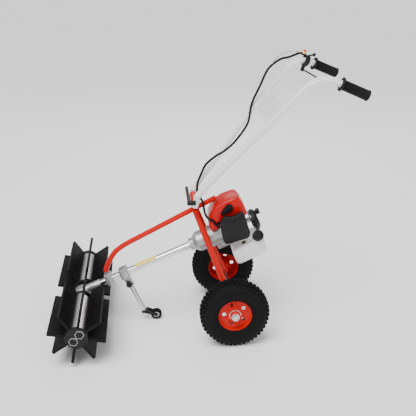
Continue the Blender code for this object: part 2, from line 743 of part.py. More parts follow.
def pivot():
    """Cross sleeve on the spine, its bolt, and the cam lever that locks the handlebar's angle."""
    at = Vector((PIVOT_X, 0, PIVOT_Z))
    sleeve = rod("pivot_sleeve", RED, at - ACROSS * PIVOT_SLEEVE_HALF, at + ACROSS * PIVOT_SLEEVE_HALF,
                 PIVOT_SLEEVE_RADIUS, 24, 0.001)
    spine = spine_at(PIVOT_X)
    slope = atan2(spine_route()[3].z - spine_route()[2].z, spine_route()[3].x - spine_route()[2].x)
    top = spine.z + (SPINE_RADIUS + 0.0008) / cos(slope)
    post_low = top + 0.010 * sin(slope) / cos(slope)
    post = block("post", RED, (0.018, 0.016, PIVOT_Z - post_low),
                 Matrix.Translation((PIVOT_X, 0, (PIVOT_Z + post_low) / 2)), 0.001, 1)
    sleeve = add(sleeve, post)
    hole = rod("sleeve_hole", RED, at - ACROSS * 0.06, at + ACROSS * 0.06, PIVOT_BOLT_RADIUS + GAP, 12)
    sleeve = cut(sleeve, hole)
    sleeve.name = "pivot_sleeve"

    outer = BAR_FOOT_Y + BAR_RADIUS + 0.0015
    solid_turned("pivot_bolt", STEEL,
                 [(0, 2 * outer + 0.006), (0.008, 2 * outer + 0.006), (0.008, 2 * outer),
                  (PIVOT_BOLT_RADIUS, 2 * outer), (PIVOT_BOLT_RADIUS, 0), (0.008, 0),
                  (0.008, -0.005), (0, -0.005)],
                 Matrix.Translation(at - ACROSS * outer) @ aim(ACROSS), 12)
    lever()


def lever():
    """Cam lever: a boss at the left end and a long bar across the front of the sleeve."""
    reach = BAR_FOOT_Y + BAR_RADIUS + 0.0170
    at = Vector((PIVOT_X - PIVOT_SLEEVE_RADIUS - 0.0085, -reach, PIVOT_Z + 0.010))
    bar = rod("clamp_lever", PLASTIC, at, at + ACROSS * 2 * reach, 0.0065, 12, 0.002)
    boss = rod("lever_boss", PLASTIC, at - Vector((0.008, 0, 0)), at + Vector((0.024, 0, 0)),
               0.0095, 16, 0.001)
    bar = add(bar, boss)
    bar.name = "clamp_lever"
    return bar


def throttle():
    """Twin-shell throttle body on the right tube, squeeze lever, speed lock and stop button."""
    route = bar_route(1)
    apex = route[8]
    along = (route[9] - route[8]).normalized()
    body_at = apex + along * 0.012
    frame = Matrix.Translation(body_at) @ aim(along)
    body = turned("throttle_housing", PLASTIC,
                  [(0.0195, 0.010), (0.021, 0.008), (0.021, -0.008), (0.0195, -0.010),
                   (BAR_RADIUS + 0.0038, -0.010), (BAR_RADIUS + 0.0030, 0.010)], frame, 18)
    up = Vector((-along.z, 0, along.x)).normalized()
    arm = rod("arm", PLASTIC, body_at + up * 0.0185, body_at + up * 0.030 + along * 0.022, 0.0035, 10, 0.001)
    body = add(body, arm)
    knob = rod("knob", PLASTIC, body_at + up * 0.024 + along * 0.022,
               body_at + up * 0.037 + along * 0.025, 0.0060, 12, 0.002)
    body = add(body, knob)
    lug_frame = Matrix.Translation(body_at - up * 0.031) @ Matrix.Rotation(atan2(-along.z, along.x), 4, "Y")
    lug = block("lug", PLASTIC, (0.012, 0.012, 0.022), lug_frame, 0.001, 1)
    body = add(body, lug)
    pin_hole = rod("pin_hole", PLASTIC, body_at - up * LEVER_DROP - ACROSS * 0.01,
                   body_at - up * LEVER_DROP + ACROSS * 0.01, 0.0027, 10, 0.0001)
    body = cut(body, pin_hole)
    socket = rod("socket", PLASTIC, body_at - along * 0.006 + up * 0.0190,
                 body_at - along * 0.024 + up * 0.0190,
                 0.0046, 12, 0.0005)
    body = add(body, socket)
    body.name = "throttle_housing"
    throttle_lever(body_at, along, up)
    stop_button(body_at, along, up)


def throttle_lever(body_at, along, up):
    """Bent blade under the grip, on a pin across the body's lug."""
    hinge = body_at - up * LEVER_DROP
    blade_y = 0.0095
    points = [hinge, hinge + along * 0.030 - up * 0.004, hinge + along * 0.075 - up * 0.012,
              hinge + along * 0.108 - up * 0.014]
    route = [point + ACROSS * blade_y for point in smooth_path(points, 0.012)]
    blade = bent("throttle_lever", PLASTIC, route, 0.0030, 0.0, 2)
    pin = rod("lever_pin", PLASTIC, hinge - ACROSS * 0.008, hinge + ACROSS * 0.0115, 0.0021, 10, 0.0003)
    blade = add(blade, pin)
    blade.name = "throttle_lever"
    return blade


def stop_button(body_at, along, up):
    """Push cap on a yellow switch body beside the cable's socket."""
    at = body_at - along * 0.018 + up * 0.0250
    solid_turned("stop_button", RED_PLASTIC,
                 [(0, 0.012), (0.0045, 0.012), (0.0055, 0.011), (0.0055, 0.0035), (0, 0.0035)],
                 Matrix.Translation(at) @ aim(up), 16)


def cable_points():
    """Throttle cable from the body to the carburettor, in the order it runs."""
    route = bar_route(1)
    along = (route[9] - route[8]).normalized()
    up = Vector((-along.z, 0, along.x)).normalized()
    start = route[8] - along * 0.0135 + up * 0.019
    upper = [start, start - along * 0.010, Vector((0.245, 0.176, 1.004)),
             Vector((0.204, 0.160, 0.997)), Vector((0.160, 0.150, 0.964)),
             Vector((0.130, 0.140, 0.905)), Vector((0.098, 0.134, 0.835)), Vector((0.080, 0.100, 0.772)),
             Vector((0.035, 0.082, 0.712)), Vector((-0.008, 0.060, 0.680)), Vector((-0.047, 0.050, 0.660)),
             Vector((-0.084, 0.045, 0.630)), Vector((-0.103, 0.038, 0.595)), Vector((-0.118, 0.028, 0.562)),
             Vector((PIVOT_X + 0.016, 0.022, PIVOT_Z + 0.030))]
    down = (upper[-1] - upper[-2]).normalized()
    lower = [upper[-1] + down * 0.0010, upper[-1] + down * 0.0110, Vector((-0.110, 0.006, 0.513)),
             Vector((-0.103, -0.012, 0.504)), Vector((-0.099, -0.030, 0.486)),
             Vector((-0.096, -0.043, 0.468)), Vector((-0.086, -0.054, 0.452)),
             Vector((-0.066, -0.0590, 0.439)), line_at(0.133, CARB_T + 0.012, -0.061),
             line_at(CARB_S - 0.0178, CARB_T + 0.012, -0.062)]
    return upper, lower


def throttle_cable():
    upper, lower = cable_points()
    bent("cable_upper", PLASTIC, smooth_path(upper, 0.020), CABLE_RADIUS, 0.0, 1)
    bent("cable_lower", PLASTIC, smooth_path(lower, 0.012), CABLE_RADIUS, 0.0, 1)


# ---------------------------------------------------------------- engine

def engine():
    line = Matrix.Translation(line_at(0)) @ aim(FORWARD)
    tube_fit = TUBE_RADIUS + 2 * GAP
    wall = 0.004
    turned("clutch_housing", CAST,
           [(CLUTCH_RADIUS, CLUTCH_LENGTH), (CLUTCH_RADIUS, 0.034), (0.030, 0.020), (0.024, 0.018),
            (0.024, 0.0), (tube_fit, 0.0), (tube_fit, 0.030), (CLUTCH_RADIUS - wall, 0.036),
            (CLUTCH_RADIUS - wall, CLUTCH_LENGTH)], line, 24)
    crankcase(line, wall)
    crankshaft(line)
    cylinder()
    engine_cover()
    plug_boot()
    air_filter()
    muffler()
    fuel_tank()
    starter()


def crankcase(line, wall):
    """Case shell with a round bearing hole at each end and a flat flange for the cylinder."""
    start = CLUTCH_LENGTH + GAP
    end = CRANKCASE_END
    radius = 0.043
    bore = 0.010 + GAP
    case = turned("crankcase", CAST,
                  [(radius - 0.004, end), (radius, end - 0.004), (radius, start + 0.002),
                   (radius - 0.002, start), (bore, start), (bore, start + wall),
                   (radius - 0.006, start + wall), (radius - 0.006, end - wall),
                   (bore, end - wall), (bore, end)], line, 16)
    flange = block("flange", CAST, (0.060, 0.074, 0.012), line_frame(CYLINDER_S, 0.0405), 0.002)
    case = add(case, flange)
    sump = block("sump", CAST, (0.060, 0.052, 0.020), line_frame(CYLINDER_S - 0.012, -0.0455), 0.004)
    case = add(case, sump)
    opening = rod("case_hole", CAST, line_at(CYLINDER_S, 0.015), line_at(CYLINDER_S, 0.06), 0.0215, 20)
    case = cut(case, opening)
    well = rod("case_well", CAST, line_at(start + wall), line_at(end - wall), radius - 0.006, 16, 0.0001)
    case = cut(case, well)
    case.name = "crankcase"
    return case


def crankshaft(line):
    """Shaft with the clutch's shoe carrier in front and the flywheel behind the case."""
    flywheel_end = STARTER_START + 0.010
    profile = [(0, flywheel_end), (0.012, flywheel_end), (0.030, flywheel_end - 0.004),
               (0.030, STARTER_START - 0.001), (0.010, STARTER_START - 0.003)]
    for web in (CYLINDER_S + 0.015, CYLINDER_S - 0.015):
        profile += [(0.010, web + 0.008), (0.024, web + 0.007), (0.024, web - 0.007), (0.010, web - 0.008)]
    profile += [
               (0.010, CLUTCH_LENGTH - 0.0085), (0, CLUTCH_LENGTH - 0.0085)]
    solid_turned("crankshaft", STEEL, profile, line, 16)


def cylinder():
    """Finned block with a bore, open at its foot onto the crankcase."""
    low = 0.0470
    high = 0.082
    body = rod("cylinder", CAST, line_at(CYLINDER_S, low), line_at(CYLINDER_S, high), 0.0235, 16, 0.001)
    fins = 4
    for k in range(fins):
        fin = block("fin", CAST, (0.034, 0.070, 0.0025),
                    line_frame(CYLINDER_S, low + 0.010 + k * (high - low - 0.014) / (fins - 1)), 0)
        body = add(body, fin)
    bore = rod("bore", CAST, line_at(CYLINDER_S, low - 0.01), line_at(CYLINDER_S, high - 0.008),
               0.020, 16, 0.001)
    body = cut(body, bore)
    body.name = "cylinder"
    return body


def engine_cover():
    """Red cowl: a shell over the cylinder, open below, with an intake side window each side."""
    frame = line_frame(0)
    cover = prism("engine_cover", RED_PLASTIC, COVER_OUTLINE, COVER_HALF, frame, 0.014, 3)
    middle_s = sum(s for s, t in COVER_OUTLINE) / len(COVER_OUTLINE)
    inner = []
    for s, t in COVER_OUTLINE:
        inward = 0.003
        inner.append((s + (inward if s < middle_s else -inward), t - inward if t > 0.05 else t - 0.02))
    hollow = prism("hollow", RED_PLASTIC, inner, COVER_HALF - 0.003, frame, 0.008, 2)
    cover = cut(cover, hollow)
    arch = rod("arch", RED_PLASTIC, line_at(0.06), line_at(0.11), 0.0475, 24)
    cover = cut(cover, arch)
    window = block("window", RED_PLASTIC, (0.060, 0.03, 0.050), line_frame(0.165, 0.040, -COVER_HALF), 0)
    cover = cut(cover, window)
    port = block("port", RED_PLASTIC, (0.046, 0.03, 0.036), line_frame(0.150, 0.045, COVER_HALF), 0)
    cover = cut(cover, port)
    for k in range(5):
        slot = block("slot", RED_PLASTIC, (0.026, 0.010, 0.0030), line_frame(0.106, 0.050 + k * 0.007), 0)
        cover = cut(cover, slot)
    cover.name = "engine_cover"
    return cover


def plug_boot():
    """Teardrop rubber boot on the cowl's left face, over the spark plug."""
    big = 0.0155
    small = 0.0075
    reach = (-0.030, -0.010)
    outline = []
    toward = atan2(reach[1], reach[0])
    for k in range(9):
        angle = toward + radians(75 + 26.25 * k)
        outline.append((big * cos(angle), big * sin(angle)))
    for k in range(5):
        angle = toward + radians(-75 + 37.5 * k)
        outline.append((small * cos(angle) + reach[0], small * sin(angle) + reach[1]))
    at = line_frame(0.198, 0.101, -COVER_HALF - 0.0045 - GAP)
    prism("plug_boot", RUBBER, outline, 0.0045, at, 0.002, 2)


def air_filter():
    """Carburettor on the cylinder's left side and the black filter cover outside it."""
    carb = block("carburettor", CAST, (0.034, 0.017, 0.036), line_frame(CARB_S, CARB_T, -0.0615), 0.002)
    bore = rod("throat", CAST, line_at(CARB_S, CARB_T - 0.004, -0.03),
               line_at(CARB_S, CARB_T - 0.004, -0.09), 0.008, 16)
    cut(carb, bore)
    frame = line_frame(0, 0, -0.0855)
    cover = prism("air_filter_cover", PLASTIC, FILTER_OUTLINE, 0.0130, frame, 0.006, 2)
    middle_s, middle_t = FILTER_MIDDLE
    inner = [(middle_s + (s - middle_s) * 0.93, middle_t + (t - middle_t) * 0.93) for s, t in FILTER_OUTLINE]
    hollow = prism("filter_hollow", PLASTIC, inner, 0.0130, frame @ Matrix.Translation((0, 0.004, 0)))
    cut(cover, hollow)


def muffler():
    """Pressed steel box on the cylinder's right side, with an outlet stub."""
    box = block("muffler", STEEL, (0.070, 0.034, 0.070), line_frame(0.150, 0.045, 0.076), 0.008)
    stub = rod("stub", STEEL, line_at(0.150, 0.045, 0.0625), line_at(0.150, 0.045, 0.056), 0.011, 16)
    box = add(box, stub)
    outlet = rod("outlet", STEEL, line_at(0.170, 0.022, 0.085), line_at(0.170, 0.022, 0.101), 0.006, 12)
    box = add(box, outlet)
    throat = rod("outlet_bore", STEEL, line_at(0.170, 0.022, 0.075), line_at(0.170, 0.022, 0.11), 0.004, 12)
    cut(box, throat)


def fuel_tank():
    """Blow-moulded tank under the engine with its filler neck at the rear top corner."""
    frame = line_frame(0, 0, -0.012)
    tank = prism("fuel_tank", TANK, TANK_OUTLINE, TANK_HALF, frame, 0.010, 1)
    middle = (sum(s for s, t in TANK_OUTLINE) / 8, sum(t for s, t in TANK_OUTLINE) / 8)
    inner = [(middle[0] + (s - middle[0]) * 0.955, middle[1] + (t - middle[1]) * 0.93) for s,
             t in TANK_OUTLINE]
    hollow = prism("tank_hollow", TANK, inner, TANK_HALF - 0.003, frame, 0.010, 1)
    neck = rod("neck_out", TANK, cap_line(-0.032), cap_line(0.010), 0.0145, 20, 0.0005)
    tank = add(tank, neck)
    bore = rod("neck_bore", TANK, cap_line(-0.042), cap_line(0.03), 0.0110, 16, 0.0005)
    tank = cut(tank, bore)
    tank = cut(tank, hollow)
    tank.name = "fuel_tank"
    fuel_cap()


def cap_line(distance):
    """A point on the filler neck's axis, which leans back from square to the line."""
    axis = (UPWARD * 0.55 + FORWARD * 0.45 - ACROSS * 0.70).normalized()
    return line_at(0.251, -0.042, -0.078) + axis * distance


def fuel_cap():
    start = cap_line(0.0)
    axis = (cap_line(1.0) - start).normalized()
    turned_cap = [(0.0, 0.022), (0.0175, 0.022), (0.0205, 0.019), (0.0205, 0.0), (0.0145 + GAP, 0.0),
                  (0.0145 + GAP, 0.0104), (0.0, 0.0104)]
    solid_turned("fuel_cap", PLASTIC, turned_cap, Matrix.Translation(cap_line(0.0016)) @ aim(axis), 24)


def starter():
    """Recoil starter: a drum-shaped cover behind the flywheel and its pull handle."""
    frame = Matrix.Translation(line_at(0, -STARTER_DROP)) @ aim(FORWARD)
    radius = STARTER_RADIUS
    turned("starter_housing", PLASTIC,
           [(0.004, STARTER_END), (radius - 0.012, STARTER_END), (radius, STARTER_END - 0.010),
            (radius, STARTER_START), (radius - 0.003, STARTER_START), (radius - 0.003, STARTER_END - 0.012),
            (radius - 0.014, STARTER_END - 0.004), (0.004, STARTER_END - 0.004)], frame, 28)
    solid_turned("starter_handle", PLASTIC,
                 [(0, 0.016), (0.010, 0.016), (0.012, 0.014), (0.012, 0.004), (0.008, 0), (0, 0)],
                 Matrix.Translation(line_at(STARTER_END + GAP, 0.014, 0.012)) @ aim(FORWARD), 16)


# ---------------------------------------------------------------- assembly

def to_origin():
    """Stand the part on Z = 0 with its box centred on the origin."""
    bpy.context.view_layer.update()
    low = Vector((1e9, 1e9, 1e9))
    high = -low
    for made in PARTS.objects:
        for vertex in made.data.vertices:
            at = made.matrix_world @ vertex.co
            low = Vector(map(min, low, at))
            high = Vector(map(max, high, at))
    middle = (low + high) / 2
    shift = Matrix.Translation((-middle.x, -middle.y, -low.z))
    for made in PARTS.objects:
        made.matrix_world = shift @ made.matrix_world
    print("shift", tuple(round(v, 5) for v in shift.translation))


def main():
    drum()
    gearbox()
    drive_line()
    gearbox_clamp()
    castor()
    frame_spine()
    for side, word in ((-1, "left"), (1, "right")):
        frame_leg(side, word)
        handlebar(side, word)
    axle_and_wheels()
    handle_plate()
    pivot()
    throttle()
    throttle_cable()
    engine()
    to_origin()


main()
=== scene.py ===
import bmesh
import bpy
import json
from math import cos, pi, radians, sin
from mathutils import Matrix, Vector


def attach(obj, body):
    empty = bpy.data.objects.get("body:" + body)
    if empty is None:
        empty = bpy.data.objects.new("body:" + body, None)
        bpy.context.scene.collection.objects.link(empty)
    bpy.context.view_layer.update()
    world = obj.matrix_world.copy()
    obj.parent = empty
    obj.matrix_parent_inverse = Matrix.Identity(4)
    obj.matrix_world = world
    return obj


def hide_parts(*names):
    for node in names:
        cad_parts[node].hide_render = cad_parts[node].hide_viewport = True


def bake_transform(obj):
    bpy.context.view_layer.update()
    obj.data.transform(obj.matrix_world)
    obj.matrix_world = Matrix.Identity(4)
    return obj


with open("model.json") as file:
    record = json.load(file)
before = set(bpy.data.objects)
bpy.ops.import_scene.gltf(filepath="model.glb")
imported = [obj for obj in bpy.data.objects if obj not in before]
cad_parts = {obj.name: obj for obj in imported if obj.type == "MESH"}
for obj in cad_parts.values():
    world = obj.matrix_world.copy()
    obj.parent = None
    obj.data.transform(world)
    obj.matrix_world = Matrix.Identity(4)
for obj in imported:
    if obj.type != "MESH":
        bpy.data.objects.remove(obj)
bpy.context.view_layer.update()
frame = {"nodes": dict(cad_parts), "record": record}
record = frame["record"]
print("frame loaded")

bodyOf = {}
for bodyName, nodeNames in record["behaviour"]["bodies"].items():
    for nodeName in nodeNames:
        bodyOf[nodeName] = bodyName
slotOf = {part["node"]: part["material_slot"] for part in record["subparts"]}


def addSocket(tree, name, kind, way="INPUT", value=None):
    socket = tree.interface.new_socket(name=name, in_out=way, socket_type=kind)
    if value is not None:
        socket.default_value = value
    return socket


def makeMottleGroup():
    # slow colour drift plus fine specks, so that no surface is one flat colour
    group = bpy.data.node_groups.new("mottle", "ShaderNodeTree")
    addSocket(group, "Colour", "NodeSocketColor")
    addSocket(group, "Second", "NodeSocketColor")
    addSocket(group, "Vector", "NodeSocketVector")
    addSocket(group, "Patch Scale", "NodeSocketFloat", value=14.0)
    addSocket(group, "Speck Scale", "NodeSocketFloat", value=400.0)
    addSocket(group, "Amount", "NodeSocketFloat", value=0.3)
    addSocket(group, "Colour", "NodeSocketColor", "OUTPUT")
    addSocket(group, "Drift", "NodeSocketFloat", "OUTPUT")
    nodes, links = group.nodes, group.links
    start = nodes.new("NodeGroupInput")
    end = nodes.new("NodeGroupOutput")
    patch = nodes.new("ShaderNodeTexNoise")
    patch.inputs["Detail"].default_value = 5.0
    speck = nodes.new("ShaderNodeTexNoise")
    speck.inputs["Detail"].default_value = 2.0
    both = nodes.new("ShaderNodeMath")
    both.operation = "MULTIPLY"
    amount = nodes.new("ShaderNodeMath")
    amount.operation = "MULTIPLY"
    mix = nodes.new("ShaderNodeMix")
    mix.data_type = "RGBA"
    links.new(start.outputs["Vector"], patch.inputs["Vector"])
    links.new(start.outputs["Vector"], speck.inputs["Vector"])
    links.new(start.outputs["Patch Scale"], patch.inputs["Scale"])
    links.new(start.outputs["Speck Scale"], speck.inputs["Scale"])
    links.new(patch.outputs["Fac"], both.inputs[0])
    links.new(speck.outputs["Fac"], both.inputs[1])
    links.new(both.outputs[0], amount.inputs[0])
    links.new(start.outputs["Amount"], amount.inputs[1])
    links.new(amount.outputs[0], mix.inputs["Factor"])
    links.new(start.outputs["Colour"], mix.inputs["A"])
    links.new(start.outputs["Second"], mix.inputs["B"])
    links.new(mix.outputs["Result"], end.inputs["Colour"])
    links.new(both.outputs[0], end.inputs["Drift"])
    return group


mottle = makeMottleGroup()


def finish(name, colour, second, rough, metal=0.0, amount=0.5, patch=14.0, speck=400.0, grain=600.0,
           depth=0.1, stretch=(1, 1, 1), roughSpread=0.12, coat=0.0, sheen=0.0, specular=0.5,
           turn=(0, 0, 0), pattern="noise"):
    made = bpy.data.materials.new(name)
    made.use_nodes = True
    nodes, links = made.node_tree.nodes, made.node_tree.links
    surface = nodes["Principled BSDF"]
    place = nodes.new("ShaderNodeTexCoord")
    lay = nodes.new("ShaderNodeMapping")
    lay.inputs["Scale"].default_value = stretch
    lay.inputs["Rotation"].default_value = turn
    links.new(place.outputs["Object"], lay.inputs["Vector"])
    drift = nodes.new("ShaderNodeGroup")
    drift.node_tree = mottle
    drift.inputs["Colour"].default_value = (*colour, 1)
    drift.inputs["Second"].default_value = (*second, 1)
    drift.inputs["Patch Scale"].default_value = patch
    drift.inputs["Speck Scale"].default_value = speck
    drift.inputs["Amount"].default_value = amount
    links.new(lay.outputs["Vector"], drift.inputs["Vector"])
    links.new(drift.outputs["Colour"], surface.inputs["Base Color"])
    spread = nodes.new("ShaderNodeMapRange")
    spread.inputs["From Min"].default_value = 0.1
    spread.inputs["From Max"].default_value = 0.45
    spread.inputs["To Min"].default_value = max(0.03, rough - roughSpread / 2)
    spread.inputs["To Max"].default_value = min(1.0, rough + roughSpread / 2)
    links.new(drift.outputs["Drift"], spread.inputs["Value"])
    links.new(spread.outputs["Result"], surface.inputs["Roughness"])
    if pattern == "cells":
        texture = nodes.new("ShaderNodeTexVoronoi")
        height = texture.outputs["Distance"]
    else:
        texture = nodes.new("ShaderNodeTexNoise")
        texture.inputs["Detail"].default_value = 3.0
        height = texture.outputs["Fac"]
    texture.inputs["Scale"].default_value = grain
    links.new(lay.outputs["Vector"], texture.inputs["Vector"])
    bump = nodes.new("ShaderNodeBump")
    bump.inputs["Strength"].default_value = depth
    bump.inputs["Distance"].default_value = 0.0006
    links.new(height, bump.inputs["Height"])
    links.new(bump.outputs["Normal"], surface.inputs["Normal"])
    surface.inputs["Metallic"].default_value = metal
    surface.inputs["Coat Weight"].default_value = coat
    surface.inputs["Coat Roughness"].default_value = 0.08
    surface.inputs["Sheen Weight"].default_value = sheen
    surface.inputs["Specular IOR Level"].default_value = specular
    return made


paintRed = finish("paintRed", (0.58, 0.003, 0.0), (0.42, 0.001, 0.0), 0.40, grain=260.0, depth=0.05,
                  specular=0.22)
paintWhite = finish("paintWhite", (0.88, 0.88, 0.88), (0.74, 0.74, 0.75), 0.34, grain=260.0, depth=0.05,
                    coat=0.4)
cowlRed = finish("cowlRed", (0.54, 0.0, 0.0), (0.38, 0.0, 0.0), 0.26, grain=500.0, depth=0.04,
                 specular=0.25)
tyreBlack = finish("tyreBlack", (0.003, 0.003, 0.0035), (0.010, 0.010, 0.0095), 0.70, patch=30.0, grain=900.0,
                   depth=0.35, specular=0.14)
paddleBlack = finish("paddleBlack", (0.0022, 0.0022, 0.0025), (0.008, 0.008, 0.008), 0.60, patch=18.0,
                     grain=700.0, depth=0.30, specular=0.16, roughSpread=0.2)
gripBlack = finish("gripBlack", (0.004, 0.004, 0.0045), (0.014, 0.014, 0.014), 0.60, grain=1100.0, depth=0.30,
                   specular=0.2)
mouldBlack = finish("mouldBlack", (0.005, 0.005, 0.0055), (0.016, 0.016, 0.017), 0.45, grain=1300.0,
                    depth=0.22, pattern="cells", specular=0.25)
tankWhite = finish("tankWhite", (0.92, 0.92, 0.91), (0.84, 0.84, 0.82), 0.38, patch=10.0, grain=300.0,
                   depth=0.08)
tankWhite.node_tree.nodes["Principled BSDF"].inputs["Subsurface Weight"].default_value = 0.35
tankWhite.node_tree.nodes["Principled BSDF"].inputs["Subsurface Radius"].default_value = (0.01, 0.01, 0.009)
zincSteel = finish("zincSteel", (0.66, 0.66, 0.67), (0.42, 0.42, 0.43), 0.30, 1.0, patch=40.0,
                   grain=900.0, depth=0.08)
drumBright = finish("drumBright", (0.86, 0.86, 0.87), (0.62, 0.63, 0.65), 0.20, 1.0, amount=0.9, patch=30.0,
                    grain=700.0, depth=0.10, stretch=(1, 0.04, 1))
tubeBright = finish("tubeBright", (0.84, 0.84, 0.85), (0.58, 0.59, 0.61), 0.18, 1.0, amount=0.9, patch=30.0,
                    grain=700.0, depth=0.08, stretch=(0.05, 1, 1), turn=(0, radians(23.0), 0))
castGrey = finish("castGrey", (0.50, 0.50, 0.50), (0.24, 0.24, 0.25), 0.44, 0.9, patch=22.0, grain=420.0,
                  depth=0.45, pattern="cells", roughSpread=0.2)
mufflerSteel = finish("mufflerSteel", (0.40, 0.39, 0.37), (0.22, 0.19, 0.16), 0.42, 1.0, amount=0.9,
                      grain=500.0)
buttonRed = finish("buttonRed", (0.78, 0.02, 0.02), (0.60, 0.01, 0.01), 0.30, grain=800.0, depth=0.05)
stripYellow = finish("stripYellow", (0.92, 0.66, 0.02), (0.80, 0.52, 0.01), 0.38, grain=500.0, depth=0.05)
hoseYellow = finish("hoseYellow", (0.86, 0.60, 0.05), (0.70, 0.42, 0.02), 0.32, grain=500.0, depth=0.05)
wireGrey = finish("wireGrey", (0.22, 0.22, 0.23), (0.34, 0.34, 0.35), 0.45, grain=900.0, depth=0.1)
brassWarm = finish("brassWarm", (0.78, 0.56, 0.22), (0.60, 0.40, 0.14), 0.30, 1.0, grain=700.0)
print("finishes made")

finishOfSlot = {
    "red_paint": paintRed, "white_paint": paintWhite, "black_rubber": paddleBlack, "tyre_rubber": tyreBlack,
    "black_plastic": mouldBlack, "red_plastic": cowlRed, "white_tank": tankWhite, "bright_steel": zincSteel,
    "aluminium": drumBright, "cast_aluminium": castGrey,
}
finishOfNode = {
    "drive_tube": tubeBright, "muffler": mufflerSteel, "stop_button": buttonRed, "grip_left": gripBlack,
    "grip_right": gripBlack, "castor_wheel": tyreBlack, "plug_boot": gripBlack,
}


def addPiece(name, mesh, look, body, standsFor=()):
    piece = bpy.data.objects.new(name, mesh)
    bpy.context.scene.collection.objects.link(piece)
    if look is not None:
        mesh.materials.clear()
        mesh.materials.append(look)
    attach(piece, body)
    if standsFor:
        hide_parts(*standsFor)
    return piece


def smoothBy(mesh, angle):
    mesh.shade_smooth()
    mesh.set_sharp_from_angle(angle=radians(angle))


def soften(node, width, angle=38):
    # a merged copy of the solid with its edges rounded, standing for the node
    source = frame["nodes"][node]
    work = bmesh.new()
    work.from_mesh(source.data)
    bmesh.ops.remove_doubles(work, verts=work.verts, dist=0.00002)
    bmesh.ops.dissolve_limit(work, angle_limit=radians(0.8), verts=work.verts, edges=work.edges)
    mesh = bpy.data.meshes.new(node)
    work.to_mesh(mesh)
    work.free()
    smoothBy(mesh, 35)
    words = node.split("_")
    name = words[0] + "".join(word.capitalize() for word in words[1:])
    look = finishOfNode.get(node, finishOfSlot[slotOf[node]])
    piece = addPiece(name, mesh, look, bodyOf[node], (node,))
    if width > 0:
        edge = piece.modifiers.new("edge", "BEVEL")
        edge.width = width
        edge.segments = 2
        edge.limit_method = "ANGLE"
        edge.angle_limit = radians(angle)
        edge.harden_normals = True
    return piece


def lathe(profile, place, steps):
    # closed ring of (radius, height) points turned about the place's Z
    work = bmesh.new()
    rings = []
    for k in range(steps):
        turn = 2 * pi * k / steps
        rings.append([work.verts.new(place @ Vector((r * cos(turn), r * sin(turn), h))) for r, h in profile])
    count = len(profile)
    for k in range(steps):
        here, there = rings[k], rings[(k + 1) % steps]
        for i in range(count):
            j = (i + 1) % count
            work.faces.new((here[i], there[i], there[j], here[j]))
    bmesh.ops.remove_doubles(work, verts=work.verts, dist=0.000001)
    bmesh.ops.recalc_face_normals(work, faces=work.faces)
    mesh = bpy.data.meshes.new("turned")
    work.to_mesh(mesh)
    work.free()
    smoothBy(mesh, 40)
    return mesh


def facing(direction):
    return Vector(direction).to_track_quat("Z", "Y").to_matrix().to_4x4()


driveLine = {"slope": 23.0, "foot": (-0.03484, 0, 0.320)}  # the engine's and drive tube's common line


def lineMatrix(s, t=0.0, y=0.0):
    # s runs along the drive line, t square to it and y across
    slope = radians(driveLine["slope"])
    along = Vector((cos(slope), 0, sin(slope)))
    square = Vector((-sin(slope), 0, cos(slope)))
    at = Vector(driveLine["foot"]) + along * s + square * t + Vector((0, y, 0))
    turn = Matrix((along, (0, 1, 0), square)).transposed().to_4x4()
    return Matrix.Translation(at) @ turn


def newTree(name):
    tree = bpy.data.node_groups.new(name, "GeometryNodeTree")
    addSocket(tree, "Geometry", "NodeSocketGeometry", "OUTPUT")
    return tree


def runTree(tree, values):
    # evaluates a tree on an empty mesh and hands back the plain mesh it makes
    holder = bpy.data.objects.new("treeHolder", bpy.data.meshes.new("treeHolder"))
    bpy.context.scene.collection.objects.link(holder)
    use = holder.modifiers.new("tree", "NODES")
    use.node_group = tree
    for item in tree.interface.items_tree:
        if item.item_type == "SOCKET" and item.in_out == "INPUT" and item.name in values:
            use[item.identifier] = values[item.name]
    bpy.context.view_layer.update()
    mesh = bpy.data.meshes.new_from_object(holder.evaluated_get(bpy.context.evaluated_depsgraph_get()))
    bpy.data.objects.remove(holder)
    return mesh


